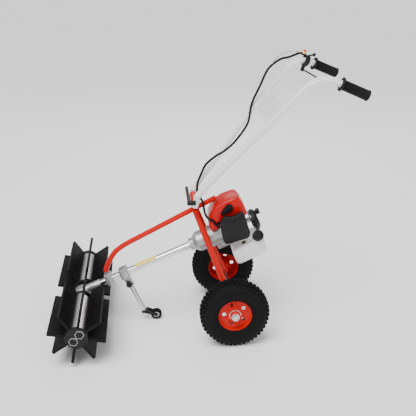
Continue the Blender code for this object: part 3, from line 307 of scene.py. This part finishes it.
def makeRingTree():
    # a ring of copies of a block or a six-sided head, with each copy turned to face outwards
    tree = newTree("ringOfPieces")
    addSocket(tree, "Count", "NodeSocketInt", value=5)
    addSocket(tree, "Radius", "NodeSocketFloat", value=0.03)
    addSocket(tree, "Size", "NodeSocketVector", value=(0.01, 0.01, 0.01))
    addSocket(tree, "Head Sides", "NodeSocketInt", value=6)
    addSocket(tree, "Head Radius", "NodeSocketFloat", value=0.004)
    addSocket(tree, "Head Height", "NodeSocketFloat", value=0.004)
    addSocket(tree, "Use Heads", "NodeSocketBool", value=False)
    addSocket(tree, "Start Angle", "NodeSocketFloat", value=0.0)
    addSocket(tree, "Lean", "NodeSocketFloat", value=0.0)
    addSocket(tree, "Height", "NodeSocketFloat", value=0.0)
    addSocket(tree, "Material", "NodeSocketMaterial")
    nodes, links = tree.nodes, tree.links
    start = nodes.new("NodeGroupInput")
    end = nodes.new("NodeGroupOutput")
    ring = nodes.new("GeometryNodeMeshCircle")
    links.new(start.outputs["Count"], ring.inputs["Vertices"])
    links.new(start.outputs["Radius"], ring.inputs["Radius"])
    cube = nodes.new("GeometryNodeMeshCube")
    links.new(start.outputs["Size"], cube.inputs["Size"])
    head = nodes.new("GeometryNodeMeshCylinder")
    links.new(start.outputs["Head Sides"], head.inputs["Vertices"])
    links.new(start.outputs["Head Radius"], head.inputs["Radius"])
    links.new(start.outputs["Head Height"], head.inputs["Depth"])
    pick = nodes.new("GeometryNodeSwitch")
    pick.input_type = "GEOMETRY"
    links.new(start.outputs["Use Heads"], pick.inputs["Switch"])
    links.new(cube.outputs["Mesh"], pick.inputs["False"])
    links.new(head.outputs["Mesh"], pick.inputs["True"])
    where = nodes.new("GeometryNodeInputPosition")
    outward = nodes.new("FunctionNodeAlignRotationToVector")
    outward.axis = "X"
    outward.pivot_axis = "Z"
    links.new(where.outputs["Position"], outward.inputs["Vector"])
    leanBy = nodes.new("FunctionNodeRotateRotation")
    leanBy.rotation_space = "LOCAL"
    leanAngle = nodes.new("ShaderNodeCombineXYZ")
    links.new(start.outputs["Lean"], leanAngle.inputs["X"])
    toTurn = nodes.new("FunctionNodeEulerToRotation")
    links.new(leanAngle.outputs["Vector"], toTurn.inputs["Euler"])
    links.new(outward.outputs["Rotation"], leanBy.inputs["Rotation"])
    links.new(toTurn.outputs["Rotation"], leanBy.inputs["Rotate By"])
    copies = nodes.new("GeometryNodeInstanceOnPoints")
    links.new(ring.outputs["Mesh"], copies.inputs["Points"])
    links.new(pick.outputs["Output"], copies.inputs["Instance"])
    links.new(leanBy.outputs["Rotation"], copies.inputs["Rotation"])
    move = nodes.new("GeometryNodeTransform")
    turnBy = nodes.new("ShaderNodeCombineXYZ")
    liftBy = nodes.new("ShaderNodeCombineXYZ")
    links.new(start.outputs["Start Angle"], turnBy.inputs["Z"])
    links.new(start.outputs["Height"], liftBy.inputs["Z"])
    links.new(copies.outputs["Instances"], move.inputs["Geometry"])
    links.new(turnBy.outputs["Vector"], move.inputs["Rotation"])
    links.new(liftBy.outputs["Vector"], move.inputs["Translation"])
    real = nodes.new("GeometryNodeRealizeInstances")
    paint = nodes.new("GeometryNodeSetMaterial")
    links.new(move.outputs["Geometry"], real.inputs["Geometry"])
    links.new(real.outputs["Geometry"], paint.inputs["Geometry"])
    links.new(start.outputs["Material"], paint.inputs["Material"])
    links.new(paint.outputs["Geometry"], end.inputs["Geometry"])
    return tree


def makeRibTree():
    # rings set evenly along a line, for the ribs of a grip
    tree = newTree("ringsAlongLine")
    addSocket(tree, "Count", "NodeSocketInt", value=12)
    addSocket(tree, "Pitch", "NodeSocketFloat", value=0.006)
    addSocket(tree, "Radius", "NodeSocketFloat", value=0.017)
    addSocket(tree, "Thickness", "NodeSocketFloat", value=0.0012)
    addSocket(tree, "Material", "NodeSocketMaterial")
    nodes, links = tree.nodes, tree.links
    start = nodes.new("NodeGroupInput")
    end = nodes.new("NodeGroupOutput")
    row = nodes.new("GeometryNodeMeshLine")
    step = nodes.new("ShaderNodeCombineXYZ")
    links.new(start.outputs["Count"], row.inputs["Count"])
    links.new(start.outputs["Pitch"], step.inputs["Z"])
    links.new(step.outputs["Vector"], row.inputs["Offset"])
    big = nodes.new("GeometryNodeCurvePrimitiveCircle")
    big.inputs["Resolution"].default_value = 32
    small = nodes.new("GeometryNodeCurvePrimitiveCircle")
    small.inputs["Resolution"].default_value = 8
    links.new(start.outputs["Radius"], big.inputs["Radius"])
    links.new(start.outputs["Thickness"], small.inputs["Radius"])
    ring = nodes.new("GeometryNodeCurveToMesh")
    links.new(big.outputs["Curve"], ring.inputs["Curve"])
    links.new(small.outputs["Curve"], ring.inputs["Profile Curve"])
    copies = nodes.new("GeometryNodeInstanceOnPoints")
    links.new(row.outputs["Mesh"], copies.inputs["Points"])
    links.new(ring.outputs["Mesh"], copies.inputs["Instance"])
    real = nodes.new("GeometryNodeRealizeInstances")
    paint = nodes.new("GeometryNodeSetMaterial")
    links.new(copies.outputs["Instances"], real.inputs["Geometry"])
    links.new(real.outputs["Geometry"], paint.inputs["Geometry"])
    links.new(start.outputs["Material"], paint.inputs["Material"])
    links.new(paint.outputs["Geometry"], end.inputs["Geometry"])
    return tree


ringTree = makeRingTree()
ribTree = makeRibTree()


def ringPiece(name, values, place, look, body, standsFor=(), soft=0.0):
    mesh = runTree(ringTree, {**values, "Material": look})
    mesh.transform(place)
    smoothBy(mesh, 35)
    piece = addPiece(name, mesh, look, body, standsFor)
    if soft > 0:
        edge = piece.modifiers.new("edge", "BEVEL")
        edge.width = soft
        edge.segments = 1
        edge.limit_method = "ANGLE"
        edge.angle_limit = radians(40)
    return piece


wheelSizes = {"radius": 0.130, "track": 0.396, "centreX": 0.11516,
              "treadHeight": 0.0042, "blocks": 44, "holes": 5, "holeCircle": 0.040, "holeRadius": 0.0078,
              "rimSkin": 0.0022, "boltCircle": 0.0285, "valve": (0.0, 0.0545, 0.0125)}


def makeWheel(word, side):
    w = wheelSizes
    body = word + "_wheel"
    hub = Vector((w["centreX"], side * w["track"] / 2, w["radius"]))
    place = Matrix.Translation(hub) @ facing((0, side, 0))
    base = w["radius"] - w["treadHeight"]
    outer = [(0.0635, 0.0305), (0.0665, 0.0335), (0.073, 0.0375), (0.083, 0.0410), (0.094, 0.0418),
             (0.104, 0.0405), (0.1135, 0.0370), (0.1205, 0.0300), (base - 0.0008, 0.0180), (base, 0.0)]
    section = outer + [(r, -h) for r, h in reversed(outer[:-1])]
    section += [(0.0632, -0.022), (0.0632, 0.022)]
    addPiece(word + "TyreBody", lathe(section, place, 96), tyreBlack, body, ("tyre_" + word,))
    pitch = 2 * pi / w["blocks"]
    rows = [(0.0, 0.0, 0.0108), (0.0138, 0.5, 0.0100), (-0.0138, 0.5, 0.0100)]
    for number, (height, phase, wide) in enumerate(rows):
        ringPiece(f"{word}Tread{number}", {"Count": w["blocks"], "Radius": base + 0.0012, "Height": height,
                  "Size": (w["treadHeight"] + 0.002, pitch * base * 0.62, wide),
                  "Start Angle": phase * pitch},
                  place, tyreBlack, body, soft=0.0007)
    for edge in (1, -1):
        mesh = runTree(ringTree, {"Count": w["blocks"], "Radius": 0.1185, "Height": edge * 0.0300,
                       "Size": (0.0120, pitch * base * 0.55, 0.0100), "Material": tyreBlack})
        mesh.transform(place)
        shoulder = addPiece(f"{word}Shoulder{'Out' if edge > 0 else 'In'}", mesh, tyreBlack, body)
        trim = shoulder.modifiers.new("edge", "BEVEL")
        trim.width = 0.0018
        trim.segments = 2
        trim.limit_method = "ANGLE"
    for radius, height in ((0.076, 0.0392), (0.101, 0.0412)):
        ridge = [(radius - 0.0011, height), (radius, height + 0.0009), (radius + 0.0011, height),
                 (radius, height - 0.002)]
        addPiece(f"{word}WallRidge{int(radius * 1000)}", lathe(ridge, place, 72), tyreBlack, body)
    skin = w["rimSkin"]
    dish = [(0.0620, 0.0305), (0.0620, -0.0300), (0.0598, -0.0300), (0.0598, 0.0150), (0.0570, 0.0125),
            (0.0520, 0.0115), (0.0400, 0.0120), (0.0300, 0.0140), (0.0225, 0.0215), (0.0200, 0.0220),
            (0.0200, -0.0400), (0.0084, -0.0400), (0.0084, 0.0400), (0.0180, 0.0400), (0.0200, 0.0380),
            (0.0200, 0.0220 + skin), (0.0240, 0.0215 + skin), (0.0310, 0.0140 + skin),
            (0.0400, 0.0120 + skin), (0.0520, 0.0115 + skin), (0.0575, 0.0130 + skin),
            (0.0590, 0.0200), (0.0592, 0.0290), (0.0600, 0.0305)]
    rim = addPiece(word + "Rim", lathe(dish, place, 80), paintRed, body, ("rim_" + word,))
    for k in range(w["holes"]):
        turn = (k + 0.5) * 2 * pi / w["holes"]
        at = place @ Vector((w["holeCircle"] * cos(turn), w["holeCircle"] * sin(turn), 0.014))
        work = bmesh.new()
        bmesh.ops.create_cone(work, cap_ends=True, segments=32, radius1=w["holeRadius"],
                              radius2=w["holeRadius"], depth=0.03,
                              matrix=Matrix.Translation(at) @ facing((0, side, 0)))
        tool = bpy.data.objects.new("holeTool", bpy.data.meshes.new("holeTool"))
        work.to_mesh(tool.data)
        work.free()
        bpy.context.scene.collection.objects.link(tool)
        bore = rim.modifiers.new("hole", "BOOLEAN")
        bore.operation = "DIFFERENCE"
        bore.solver = "EXACT"
        bore.object = tool
        bpy.context.view_layer.update()
        done = bpy.data.meshes.new_from_object(rim.evaluated_get(bpy.context.evaluated_depsgraph_get()))
        rim.modifiers.clear()
        rim.data = done
        bpy.data.objects.remove(tool)
    smoothBy(rim.data, 40)
    collar = [(0.0205, 0.0225), (0.0225, 0.0240), (0.0225, 0.0262), (0.0205, 0.0275), (0.0201, 0.0250)]
    addPiece(word + "HubCollar", lathe(collar, place, 64), zincSteel, body)
    face = [(0.0086, 0.0402), (0.0146, 0.0402), (0.0150, 0.0398), (0.0086, 0.0390)]
    addPiece(word + "HubFace", lathe(face, place, 64), zincSteel, body)
    nut = [(0.0, 0.0398), (0.0092, 0.0398), (0.0092, 0.0418), (0.0080, 0.0424), (0.0, 0.0424)]
    addPiece(word + "AxleNut", lathe(nut, place, 6), mufflerSteel, "root")
    ringPiece(word + "RimBolts", {"Count": w["holes"], "Radius": w["boltCircle"], "Use Heads": True,
              "Head Sides": 6, "Head Radius": 0.0042, "Head Height": 0.0050, "Height": 0.0195,
              "Start Angle": 0.0},
              place, paintRed, body, soft=0.0004)
    stem = place @ Matrix.Translation(w["valve"])
    valve = [(0.0, -0.002), (0.0034, -0.002), (0.0030, 0.009), (0.0022, 0.011), (0.0022, 0.0160),
             (0.0, 0.0165)]
    addPiece(word + "Valve", lathe(valve, stem, 16), mouldBlack, body)


for wheelWord, wheelSide in (("left", -1), ("right", 1)):
    makeWheel(wheelWord, wheelSide)
print("wheels made")


drumSizes = {
    "axis": Vector((-0.45731, 0, 0.12264)), "cap": 0.0416,
    "core": 0.0370, "coreWall": 0.003, "coreEnds": (0.0494, 0.3026),
    "outlineRadius": 0.0171, "outlineWall": 0.0016, "outlineEnds": (0.3126, 0.3146),
    "outlineOffset": 0.0178, "outlineSlant": 50.0,
}


def makeDrumEnds(word, side):
    d = drumSizes
    place = Matrix.Translation(d["axis"]) @ facing((0, side, 0))
    inside = d["core"] - d["coreWall"]
    near, far = d["coreEnds"]
    core = [(d["core"], far), (d["core"], near), (inside, near), (inside, far)]
    addPiece(word + "DrumCore", lathe(core, place, 72), drumBright, "drum",
             ("drum_core_" + word,))
    flange = [(0.0395, 0.0490), (0.0405, 0.0480), (0.0405, 0.0430), (0.0395, 0.0420), (0.0064, 0.0420),
              (0.0064, 0.0490)]
    addPiece(word + "DrumFlange", lathe(flange, place, 64), mouldBlack, "drum",
             ("drum_flange_" + word,))
    cap = [(d["cap"] - 0.0030, 0.3135), (d["cap"] - 0.0010, 0.3145), (d["cap"], 0.3125), (d["cap"], 0.3040),
           (d["cap"] - 0.001, 0.3030), (0.0064, 0.3030), (0.0064, 0.3128), (d["cap"] - 0.0060, 0.3128)]
    addPiece(word + "DrumCap", lathe(cap, place, 72), mouldBlack, "drum",
             ("drum_cap_" + word,))
    outer = d["outlineRadius"]
    inner = outer - d["outlineWall"]
    low, high = d["outlineEnds"]
    for number, offset in enumerate((-d["outlineOffset"], d["outlineOffset"])):
        work = bmesh.new()
        loops = []
        slant = Matrix.Rotation(radians(d["outlineSlant"]), 4, "Z")
        for radius, height in ((outer, low), (outer, high), (inner, high), (inner, low)):
            corners = [Vector((radius * cos(a * pi / 3) + offset, radius * sin(a * pi / 3), height))
                       for a in range(6)]
            loops.append([work.verts.new(place @ slant @ corner) for corner in corners])
        for i in range(4):
            for a in range(6):
                b = (a + 1) % 6
                work.faces.new((loops[i][a], loops[i][b], loops[(i + 1) % 4][b], loops[(i + 1) % 4][a]))
        bmesh.ops.recalc_face_normals(work, faces=work.faces)
        mesh = bpy.data.meshes.new("capOutline")
        work.to_mesh(mesh)
        work.free()
        piece = addPiece(f"{word}CapOutline{number}", mesh, zincSteel, "drum")
        edge = piece.modifiers.new("edge", "BEVEL")
        edge.width = 0.0003
        edge.segments = 1
    pin = [(0.0, 0.3110), (0.0058, 0.3110), (0.0058, 0.3122), (0.0045, 0.3127), (0.0, 0.3127)]
    addPiece(word + "CapPin", lathe(pin, place, 24), mouldBlack, "drum")


for drumWord, drumSide in (("left", -1), ("right", 1)):
    makeDrumEnds(drumWord, drumSide)
    for index in (1, 2, 3, 4):
        soften(f"paddle_pair_{drumWord}_{index}", 0.0016)
print("drum made")


edgeOf = {
    "gearbox_housing": 0.0010, "gearbox_clamp": 0.0008, "castor_clamp": 0.0010, "clutch_housing": 0.0012,
    "crankcase": 0.0008, "cylinder": 0.0004, "engine_cover": 0.0014, "plug_boot": 0.0006,
    "carburettor": 0.0006,
    "air_filter_cover": 0.0010, "muffler": 0.0010, "fuel_tank": 0.0014, "fuel_cap": 0.0008,
    "starter_housing": 0.0010, "starter_handle": 0.0008, "throttle_housing": 0.0006, "throttle_lever": 0.0,
    "stop_button": 0.0003, "clamp_lever": 0.0004, "castor_stem": 0.0, "castor_fork": 0.0004,
    "castor_wheel": 0.0008, "castor_knob": 0.0004, "pivot_sleeve": 0.0006, "pivot_bolt": 0.0004,
    "handle_plate": 0.0, "frame_spine": 0.0, "frame_leg_left": 0.0, "frame_leg_right": 0.0,
    "handlebar_left": 0.0, "handlebar_right": 0.0, "axle": 0.0, "drive_tube": 0.0, "grip_left": 0.0,
    "grip_right": 0.0, "output_shaft": 0.0, "worm_wheel": 0.0,
    "drive_shaft": 0.0, "crankshaft": 0.0,
}
for nodeName, edgeWidth in edgeOf.items():
    soften(nodeName, edgeWidth)
print("solids rounded")


gripSizes = {"end": Vector((0.54866, 0.200, 0.9365)), "before": Vector((0.50346, 0.1962, 0.9559)),
             "length": 0.105, "radius": 0.0172, "ribs": 15, "pitch": 0.0056, "ribThickness": 0.0013,
             "inset": 0.006, "firstRib": 0.014}


def makeGripRibs(word, side):
    g = gripSizes
    end = Vector((g["end"].x, side * g["end"].y, g["end"].z))
    before = Vector((g["before"].x, side * g["before"].y, g["before"].z))
    along = (end - before).normalized()
    base = end - along * (g["length"] - g["inset"])
    mesh = runTree(ribTree, {"Count": g["ribs"], "Pitch": g["pitch"], "Radius": g["radius"],
                             "Thickness": g["ribThickness"], "Material": gripBlack})
    mesh.transform(Matrix.Translation(base + along * g["firstRib"]) @ facing(along))
    smoothBy(mesh, 60)
    addPiece(word + "GripRibs", mesh, gripBlack, "handlebar")


for gripWord, gripSide in (("left", -1), ("right", 1)):
    makeGripRibs(gripWord, gripSide)


cableSizes = {
    "radius": 0.0045, "perSpan": 10, "still": (0.0122, -0.0120, 0.5040), "swings": (0.0312, 0.0450, 0.6300),
    "route": [(0.4091, 0.1841, 1.0134), (0.3998, 0.1828, 1.0168), (0.3602, 0.1760, 1.0040),
              (0.3192, 0.1600, 0.9970), (0.2752, 0.1500, 0.9640), (0.2452, 0.1400, 0.9050),
              (0.2132, 0.1340, 0.8350), (0.1952, 0.1000, 0.7720), (0.1502, 0.0820, 0.7120),
              (0.1072, 0.0600, 0.6800), (0.0682, 0.0500, 0.6600), (0.0312, 0.0450, 0.6300),
              (0.0122, 0.0380, 0.5950), (-0.0028, 0.0280, 0.5620), (-0.0038, 0.0220, 0.5460),
              (-0.0045, 0.0181, 0.5357), (0.0052, 0.0060, 0.5130), (0.0122, -0.0120, 0.5040),
              (0.0162, -0.0300, 0.4860), (0.0192, -0.0430, 0.4680), (0.0292, -0.0540, 0.4520),
              (0.0492, -0.0590, 0.4390), (0.0673, -0.0610, 0.4198), (0.0905, -0.0620, 0.4297)],
}


def smoothRoute(route, perSpan):
    # points on a Catmull-Rom curve through the route
    spots = [Vector(spot) for spot in route]
    spots = [spots[0] * 2 - spots[1], *spots, spots[-1] * 2 - spots[-2]]
    fine = []
    for a, b, c, d in zip(spots, spots[1:], spots[2:], spots[3:]):
        for k in range(perSpan):
            u = k / perSpan
            fine.append(0.5 * (2 * b + (c - a) * u + (2 * a - 5 * b + 4 * c - d) * u ** 2
                               + (3 * b - a - 3 * c + d) * u ** 3))
    fine.append(spots[-2])
    return fine


def routeTube(path, radius, resolution):
    # a closed tube whose rings stand at the path's own points
    line = bpy.data.curves.new("routeLine", "CURVE")
    line.dimensions = "3D"
    line.bevel_depth = radius
    line.bevel_resolution = resolution
    line.use_fill_caps = True
    spline = line.splines.new("POLY")
    spline.points.add(len(path) - 1)
    for spot, point in zip(spline.points, path):
        spot.co = (*point, 1)
    holder = bpy.data.objects.new("routeLine", line)
    bpy.context.scene.collection.objects.link(holder)
    bpy.context.view_layer.update()
    mesh = bpy.data.meshes.new_from_object(holder.evaluated_get(bpy.context.evaluated_depsgraph_get()))
    bpy.data.objects.remove(holder)
    work = bmesh.new()
    work.from_mesh(mesh)
    bmesh.ops.remove_doubles(work, verts=work.verts, dist=0.00002)
    work.to_mesh(mesh)
    work.free()
    smoothBy(mesh, 50)
    return mesh


def makeCable():
    # one casing from the throttle body to the carburettor, made as one fixed curved piece
    c = cableSizes
    path = smoothRoute(c["route"], c["perSpan"])
    mesh = routeTube(path, c["radius"], 3)
    mesh.materials.clear()
    mesh.materials.append(gripBlack)
    cable = bpy.data.objects.new("throttleCable", mesh)
    bpy.context.scene.collection.objects.link(cable)
    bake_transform(cable)
    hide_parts("cable_upper", "cable_lower")


makeCable()


stopSizes = {"button": Vector((0.4190, 0.1856, 1.0185)), "joins": Vector((0.28516, 0.150, 0.972)),
             "radius": 0.0012, "perSpan": 8}


def makeStopWire():
    s = stopSizes
    start = s["button"] + Vector((-0.007, -0.002, -0.003))
    points = [start, start + Vector((-0.016, -0.006, 0.006)), start + Vector((-0.045, -0.012, 0.010)),
              start + Vector((-0.078, -0.020, 0.004)), start + Vector((-0.108, -0.028, -0.015)), s["joins"]]
    path = smoothRoute(points, s["perSpan"])
    wire = addPiece("stopWire", routeTube(path, s["radius"], 2), wireGrey, "handlebar")


makeStopWire()


switchSizes = {"up": Vector((0.3423, 0, 0.9396)), "at": Vector((0.4171, 0.1852, 1.0185))}


def makeSwitchBody():
    place = Matrix.Translation(switchSizes["at"]) @ facing(switchSizes["up"])
    collar = [(0.0030, -0.0050), (0.0068, -0.0050), (0.0068, 0.0010), (0.0058, 0.0022), (0.0030, 0.0022)]
    addPiece("switchBody", lathe(collar, place, 24), brassWarm, "handlebar")


makeSwitchBody()


castorSizes = {"hub": Vector((-0.17342, 0, 0.022)), "discRadius": 0.0115}


def makeCastorHub():
    c = castorSizes
    for word, side in (("left", -1), ("right", 1)):
        place = Matrix.Translation(c["hub"]) @ facing((0, side, 0))
        disc = [(0.0, 0.0070), (c["discRadius"], 0.0070), (c["discRadius"], 0.0092), (0.0100, 0.0097),
                (0.0060, 0.0092), (0.0, 0.0092)]
        addPiece(word + "CastorHub", lathe(disc, place, 32), castGrey, "castor_roller")


makeCastorHub()
print("handlebar trim made")


stripSizes = {"from": -0.228, "to": -0.141, "radius": 0.01372, "under": 0.01355, "spread": 110.0, "steps": 14}


def makeTubeStrip():
    work = bmesh.new()
    rows = []
    steps = stripSizes["steps"]
    radii = (stripSizes["radius"], stripSizes["under"])
    for s in (stripSizes["from"], stripSizes["to"]):
        base = lineMatrix(s)
        row = []
        for k in range(steps + 1):
            turn = radians(90 - stripSizes["spread"] / 2 + stripSizes["spread"] * k / steps)
            out = Vector((0, -cos(turn), sin(turn)))
            row.append([work.verts.new(base @ (out * r)) for r in radii])
        rows.append(row)
    first, last = rows
    for k in range(steps):
        work.faces.new((first[k][0], first[k + 1][0], last[k + 1][0], last[k][0]))
        work.faces.new((first[k][1], last[k][1], last[k + 1][1], first[k + 1][1]))
        work.faces.new((first[k][0], first[k][1], first[k + 1][1], first[k + 1][0]))
        work.faces.new((last[k][0], last[k + 1][0], last[k + 1][1], last[k][1]))
    work.faces.new((first[0][0], last[0][0], last[0][1], first[0][1]))
    work.faces.new((first[steps][0], first[steps][1], last[steps][1], last[steps][0]))
    bmesh.ops.recalc_face_normals(work, faces=work.faces)
    mesh = bpy.data.meshes.new("tubeStrip")
    work.to_mesh(mesh)
    work.free()
    smoothBy(mesh, 40)
    addPiece("tubeStrip", mesh, stripYellow, "root")


makeTubeStrip()


# places are along, square to and across the drive line
engineTrimSizes = {
    "filterScrew": (0.1985, 0.062, -0.0985), "starterNeck": (0.2520, -0.004, 0.0), "vents": (0.2812, -0.008),
    "ventCount": 18, "ventRadius": 0.0225, "clutchBolts": 0.0715, "boltCount": 4, "boltRadius": 0.0345,
    "starterScrew": (0.2813, 0.010, -0.030), "grommet": (0.196, -0.0566, -0.050), "hoseRadius": 0.0022,
    "hoseRoute": [(0.1955, -0.046, -0.0510), (0.194, -0.034, -0.0540), (0.190, -0.004, -0.0600),
                  (0.186, 0.024, -0.0620)],
}


def makeEngineTrim():
    # cover screw, starter vents, clutch bolts, fuel line with its grommet
    e = engineTrimSizes
    endOn = Matrix.Rotation(radians(90), 4, "Y")
    screwPlace = lineMatrix(*e["filterScrew"]) @ facing((0, -1, 0))
    screw = [(0.0, 0.0), (0.0060, 0.0), (0.0060, 0.0014), (0.0050, 0.0020), (0.0030, 0.0020),
             (0.0022, 0.0012), (0.0, 0.0012)]
    addPiece("filterScrew", lathe(screw, screwPlace, 32), gripBlack, "root")
    neck = lineMatrix(*e["starterNeck"]) @ endOn
    sleeve = [(0.0, 0.0), (0.0330, 0.0), (0.0360, 0.0030), (0.0360, 0.0042), (0.0, 0.0042)]
    addPiece("starterNeck", lathe(sleeve, neck, 48), gripBlack, "root")
    vents = lineMatrix(*e["vents"]) @ endOn
    ringPiece("starterVents", {"Count": e["ventCount"], "Radius": e["ventRadius"],
              "Size": (0.012, 0.0020, 0.0012)}, vents, gripBlack, "root", soft=0.0004)
    bolts = lineMatrix(e["clutchBolts"]) @ endOn
    ringPiece("clutchBolts", {"Count": e["boltCount"], "Radius": e["boltRadius"], "Use Heads": True,
              "Head Sides": 6, "Head Radius": 0.0034, "Head Height": 0.0040, "Start Angle": radians(45)},
              bolts, zincSteel, "root", soft=0.0003)
    dot = lineMatrix(*e["starterScrew"]) @ endOn
    boss = [(0.0, -0.001), (0.0042, -0.001), (0.0042, 0.0010), (0.0032, 0.0018), (0.0, 0.0018)]
    addPiece("starterScrew", lathe(boss, dot, 24), zincSteel, "root")
    grommet = lineMatrix(*e["grommet"])
    ring = [(0.0, -0.002), (0.0085, -0.002), (0.0085, 0.0020), (0.0060, 0.0048), (0.0030, 0.0052),
            (0.0, 0.0052)]
    addPiece("lineGrommet", lathe(ring, grommet, 24), gripBlack, "root")
    foot = grommet @ Vector((0, 0, 0.0045))
    path = smoothRoute([foot, *[lineMatrix(*spot).translation for spot in e["hoseRoute"]]], 8)
    hose = addPiece("fuelLine", routeTube(path, e["hoseRadius"], 3), hoseYellow, "root")


makeEngineTrim()
print("engine trim made")


ropeSizes = {"inside": 0.2775, "tied": 0.2835, "high": 0.014, "across": 0.012, "radius": 0.0013, "rings": 24}


def makeStarterRope():
    # short at rest, one straight fixed piece
    r = ropeSizes
    start = lineMatrix(r["inside"], r["high"], r["across"]).translation
    end = lineMatrix(r["tied"], r["high"], r["across"]).translation
    work = bmesh.new()
    place = Matrix.Translation(start) @ facing(end - start)
    rings = []
    for i in range(r["rings"] + 1):
        height = (end - start).length * i / r["rings"]
        corners = [Vector((r["radius"] * cos(k * pi / 4), r["radius"] * sin(k * pi / 4), height))
                   for k in range(8)]
        rings.append([work.verts.new(place @ corner) for corner in corners])
    for low, high in zip(rings, rings[1:]):
        for k in range(8):
            work.faces.new((low[k], low[(k + 1) % 8], high[(k + 1) % 8], high[k]))
    work.faces.new(reversed(rings[0]))
    work.faces.new(rings[-1])
    mesh = bpy.data.meshes.new("starterRope")
    work.to_mesh(mesh)
    work.free()
    smoothBy(mesh, 50)
    mesh.materials.append(wireGrey)
    rope = bpy.data.objects.new("starterRope", mesh)
    bpy.context.scene.collection.objects.link(rope)
    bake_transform(rope)


makeStarterRope()
print("starter rope made")


stageSizes = {"floorHalf": 30.0, "floorHeight": -0.0008, "floorShade": 0.93, "floorRough": 0.95,
              "skyLight": 0.40}
sunSizes = {"from": (-0.5, -0.6, 2.0), "strength": 3.2, "spread": 40.0}
lightSizes = {
    "keyLight": {"at": (-1.6, -2.2, 2.9), "target": (0, 0, 0.4), "size": 2.2, "power": 60.0},
    "fillLight": {"at": (2.4, -1.8, 1.8), "target": (0, 0, 0.4), "size": 2.6, "power": 24.0},
    "backLight": {"at": (0.4, 2.6, 2.6), "target": (0, 0, 0.5), "size": 2.4, "power": 34.0},
}


def makeStage():
    work = bmesh.new()
    bmesh.ops.create_grid(work, x_segments=1, y_segments=1, size=stageSizes["floorHalf"])
    mesh = bpy.data.meshes.new("floor")
    work.to_mesh(mesh)
    work.free()
    floor = bpy.data.objects.new("floor", mesh)
    floor.location.z = stageSizes["floorHeight"]
    bpy.context.scene.collection.objects.link(floor)
    pale = bpy.data.materials.new("paleFloor")
    pale.use_nodes = True
    base = pale.node_tree.nodes["Principled BSDF"]
    base.inputs["Base Color"].default_value = (*[stageSizes["floorShade"]] * 3, 1)
    base.inputs["Roughness"].default_value = stageSizes["floorRough"]
    base.inputs["Specular IOR Level"].default_value = 0.1
    mesh.materials.append(pale)
    world = bpy.data.worlds.new("studio")
    bpy.context.scene.world = world
    world.use_nodes = True
    sky = world.node_tree.nodes["Background"]
    sky.inputs["Color"].default_value = (1, 1, 1, 1)
    sky.inputs["Strength"].default_value = stageSizes["skyLight"]


def makeLight(name, at, target, size, power):
    lamp = bpy.data.lights.new(name, "AREA")
    lamp.size = size
    lamp.energy = power
    holder = bpy.data.objects.new(name, lamp)
    holder.location = at
    holder.rotation_euler = (Vector(target) - Vector(at)).to_track_quat("-Z", "Y").to_euler()
    bpy.context.scene.collection.objects.link(holder)


def makeSun():
    # one broad soft light from above, so the floor stays pale to its far edge
    lamp = bpy.data.lights.new("softSun", "SUN")
    lamp.energy = sunSizes["strength"]
    lamp.angle = radians(sunSizes["spread"])
    holder = bpy.data.objects.new("softSun", lamp)
    holder.rotation_euler = (-Vector(sunSizes["from"])).to_track_quat("-Z", "Y").to_euler()
    bpy.context.scene.collection.objects.link(holder)


makeStage()
makeSun()
for lightName, light in lightSizes.items():
    makeLight(lightName, light["at"], light["target"], light["size"], light["power"])

cameraSizes = {"at": (-0.1827, -2.3576, 1.4355), "tilt": 67.83, "turn": -5.27, "lens": 58.3}
lens = bpy.data.cameras.new("camera")
lens.lens = cameraSizes["lens"]
lens.sensor_width = 36.0
lens.clip_start = 0.05
lens.clip_end = 100.0
camera = bpy.data.objects.new("camera", lens)
camera.location = cameraSizes["at"]
camera.rotation_euler = (radians(cameraSizes["tilt"]), 0, radians(cameraSizes["turn"]))
bpy.context.scene.collection.objects.link(camera)
bpy.context.scene.camera = camera
print("stage made")

bpy.context.view_layer.update()
